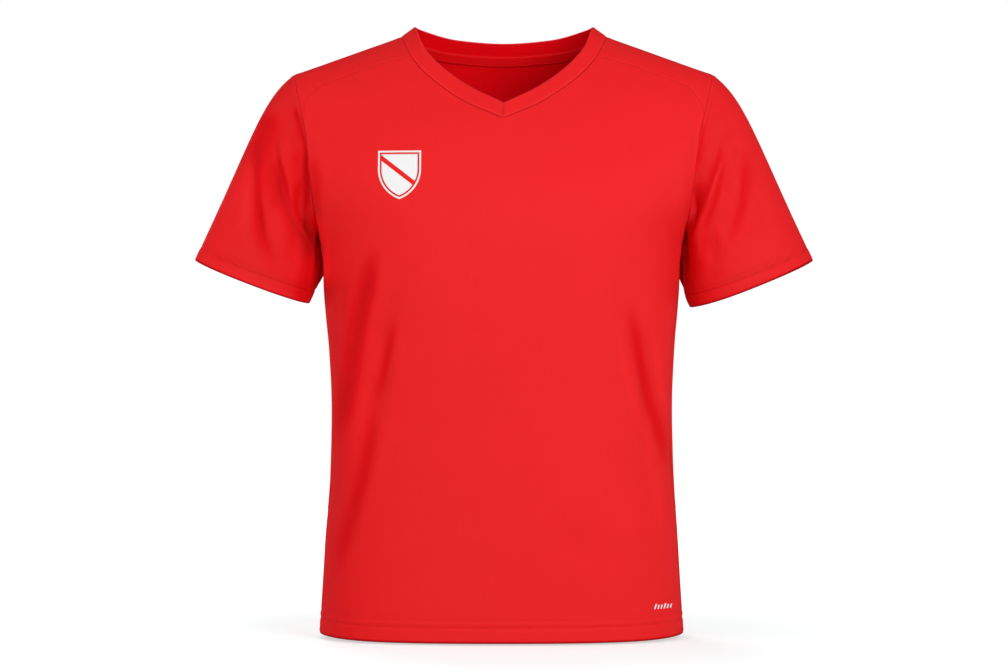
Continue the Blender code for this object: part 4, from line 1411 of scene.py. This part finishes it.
def stitchAlong(name, cloth, levels):
    stitches, batchMesh = bmesh.new(), bpy.data.meshes.new("batch")
    for level in levels:
        line, way = levelLine(cloth, level)
        run = np.concatenate([[0], np.cumsum(np.linalg.norm(np.diff(line, axis=0), axis=1))])
        pitch = thread["pitch"] * mm
        count = int((run[-1] - thread["margin"] * mm) / pitch)
        for spots in np.array_split(np.linspace(pitch, run[-1] - pitch, count), thread["batches"]):
            batch = bmesh.new()
            for at in spots:
                spot, ahead = (
                    Vector([np.interp(at + d, run, line[:, k]) for k in range(3)])
                    for d in (0, thread["ahead"] * mm)
                )
                out = Vector([np.interp(at, run, way[:, k]) for k in range(3)]).normalized()
                oneStitch(batch, spot, (ahead - spot).normalized(), out)
            batch.to_mesh(batchMesh)
            batch.free()
            stitches.from_mesh(batchMesh)
    bpy.data.meshes.remove(batchMesh)
    piece = objectOf(name, meshOf(name, stitches))
    piece.data.materials.append(finishes["thread"])
    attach(piece, "root")
    return piece


stitched = {
    "front": ("frontHemStitches", "hem"), "back": ("backHemStitches", "hem"),
    "sleeve_right": ("rightCuffStitches", "cuff"), "sleeve_left": ("leftCuffStitches", "cuff"),
}
stitching = {
    node: stitchAlong(name, cloths[node], thread[edge]) for node, (name, edge) in stitched.items()
}
print("stitched:", ", ".join(piece.name for piece in stitching.values()))


# The studio: a pale floor just under the hem, a white room and soft lights. The room lights the cloth with a
# share of its white, and shows in its gloss with a smaller one.
studio = {
    "room": 0.34, "roomGloss": 0.03, "aim": (0, 0, -0.3),
    "floorDrop": 2.0, "floorHalf": 3.0, "floorColour": (0.52, 0.6, 0.6, 1),
    # how bright the floor is near the shirt and far from it, and from and to how far out
    "floorGlow": {"From Min": 0.28, "From Max": 0.80, "To Min": 0.56, "To Max": 0.86},
}
lights = {
    "key": {"at": (1.6, -3.0, 0.4), "size": 1.9, "power": 71},
    "fill": {"at": (-2.4, -1.7, 0.1), "size": 1.6, "power": 17, "gloss": False},
    "rimRight": {"at": (-2.45, 0.3, -0.2), "size": 1.4, "power": 12, "gloss": False},
    "rimLeft": {"at": (2.45, 0.3, -0.2), "size": 1.4, "power": 8, "gloss": False},
    "top": {"at": (-0.6, -1.8, 2.1), "size": 1.8, "power": 11},
    "back": {"at": (-1.0, 3.0, 0.9), "size": 1.6, "power": 50, "gloss": False},
}


def softLight(name, at, size, power, gloss=True):
    data = bpy.data.lights.new(name, "AREA")
    data.shape, data.size, data.energy = "DISK", size, power
    light = objectOf(name, data)
    light.location, light.visible_glossy = at, gloss
    aim = Vector(studio["aim"]) - Vector(at)
    light.rotation_euler = aim.to_track_quat("-Z", "Y").to_euler()


def studioFloor():
    sheet = bmesh.new()
    bmesh.ops.create_grid(sheet, x_segments=2, y_segments=2, size=studio["floorHalf"])
    low = cadBox[0][2] - studio["floorDrop"] * mm
    bmesh.ops.translate(sheet, verts=sheet.verts[:], vec=(0, 0, low))
    floor = objectOf("studioFloor", meshOf("studioFloor", sheet))
    material, tree, shader = newMaterial("paleFloor", 0.9, 0.1)
    shader["Base Color"].default_value = studio["floorColour"]
    shader["Emission Color"].default_value = (1, 1, 1, 1)
    # the floor is brighter away from the shirt, so the shadow under the hem stays soft
    level = newNode(tree, "VectorMath", {0: objectPlace(tree), 1: (1, 1, 0)}, operation="MULTIPLY")
    length = newNode(tree, "VectorMath", {0: level}, out="Value", operation="LENGTH")
    inputs = {"Value": length, **studio["floorGlow"]}
    spread = newNode(tree, "MapRange", inputs, out="Result", interpolation_type="SMOOTHSTEP")
    seen = newNode(tree, "LightPath", out="Is Camera Ray")
    give(tree, shader["Emission Strength"], mathNode(tree, "MULTIPLY", seen, spread))
    floor.data.materials.append(material)


def whiteRoom():
    # the camera sees a white room, and the cloth is lit and mirrored less than that
    world = bpy.data.worlds.new("whiteRoom")
    bpy.context.scene.world = world
    world.use_nodes = True
    tree = world.node_tree
    shade = tree.nodes["Background"].inputs
    seen, gloss = (newNode(tree, "LightPath", out=ray) for ray in ("Is Camera Ray", "Is Glossy Ray"))
    seen = mathNode(tree, "MULTIPLY", seen, 1.0 - studio["room"])
    gloss = mathNode(tree, "MULTIPLY", gloss, studio["roomGloss"] - studio["room"])
    strength = mathNode(tree, "ADD", mathNode(tree, "ADD", seen, gloss), studio["room"])
    give(tree, shade["Strength"], strength)
    shade["Color"].default_value = (1, 1, 1, 1)


studioFloor()
whiteRoom()
for name, values in lights.items():
    softLight(name + "Light", **values)

view = {"far": 4.0, "height": -0.340, "lens": 126.0}
camera = objectOf("camera", bpy.data.cameras.new("camera"))
camera.location = (0, -view["far"], view["height"])
camera.rotation_euler = (math.radians(90), 0, 0)
camera.data.lens = view["lens"]
camera.data.clip_end = 100
bpy.context.scene.camera = camera
bpy.context.scene.view_settings.view_transform = "Standard"
print("studio set")
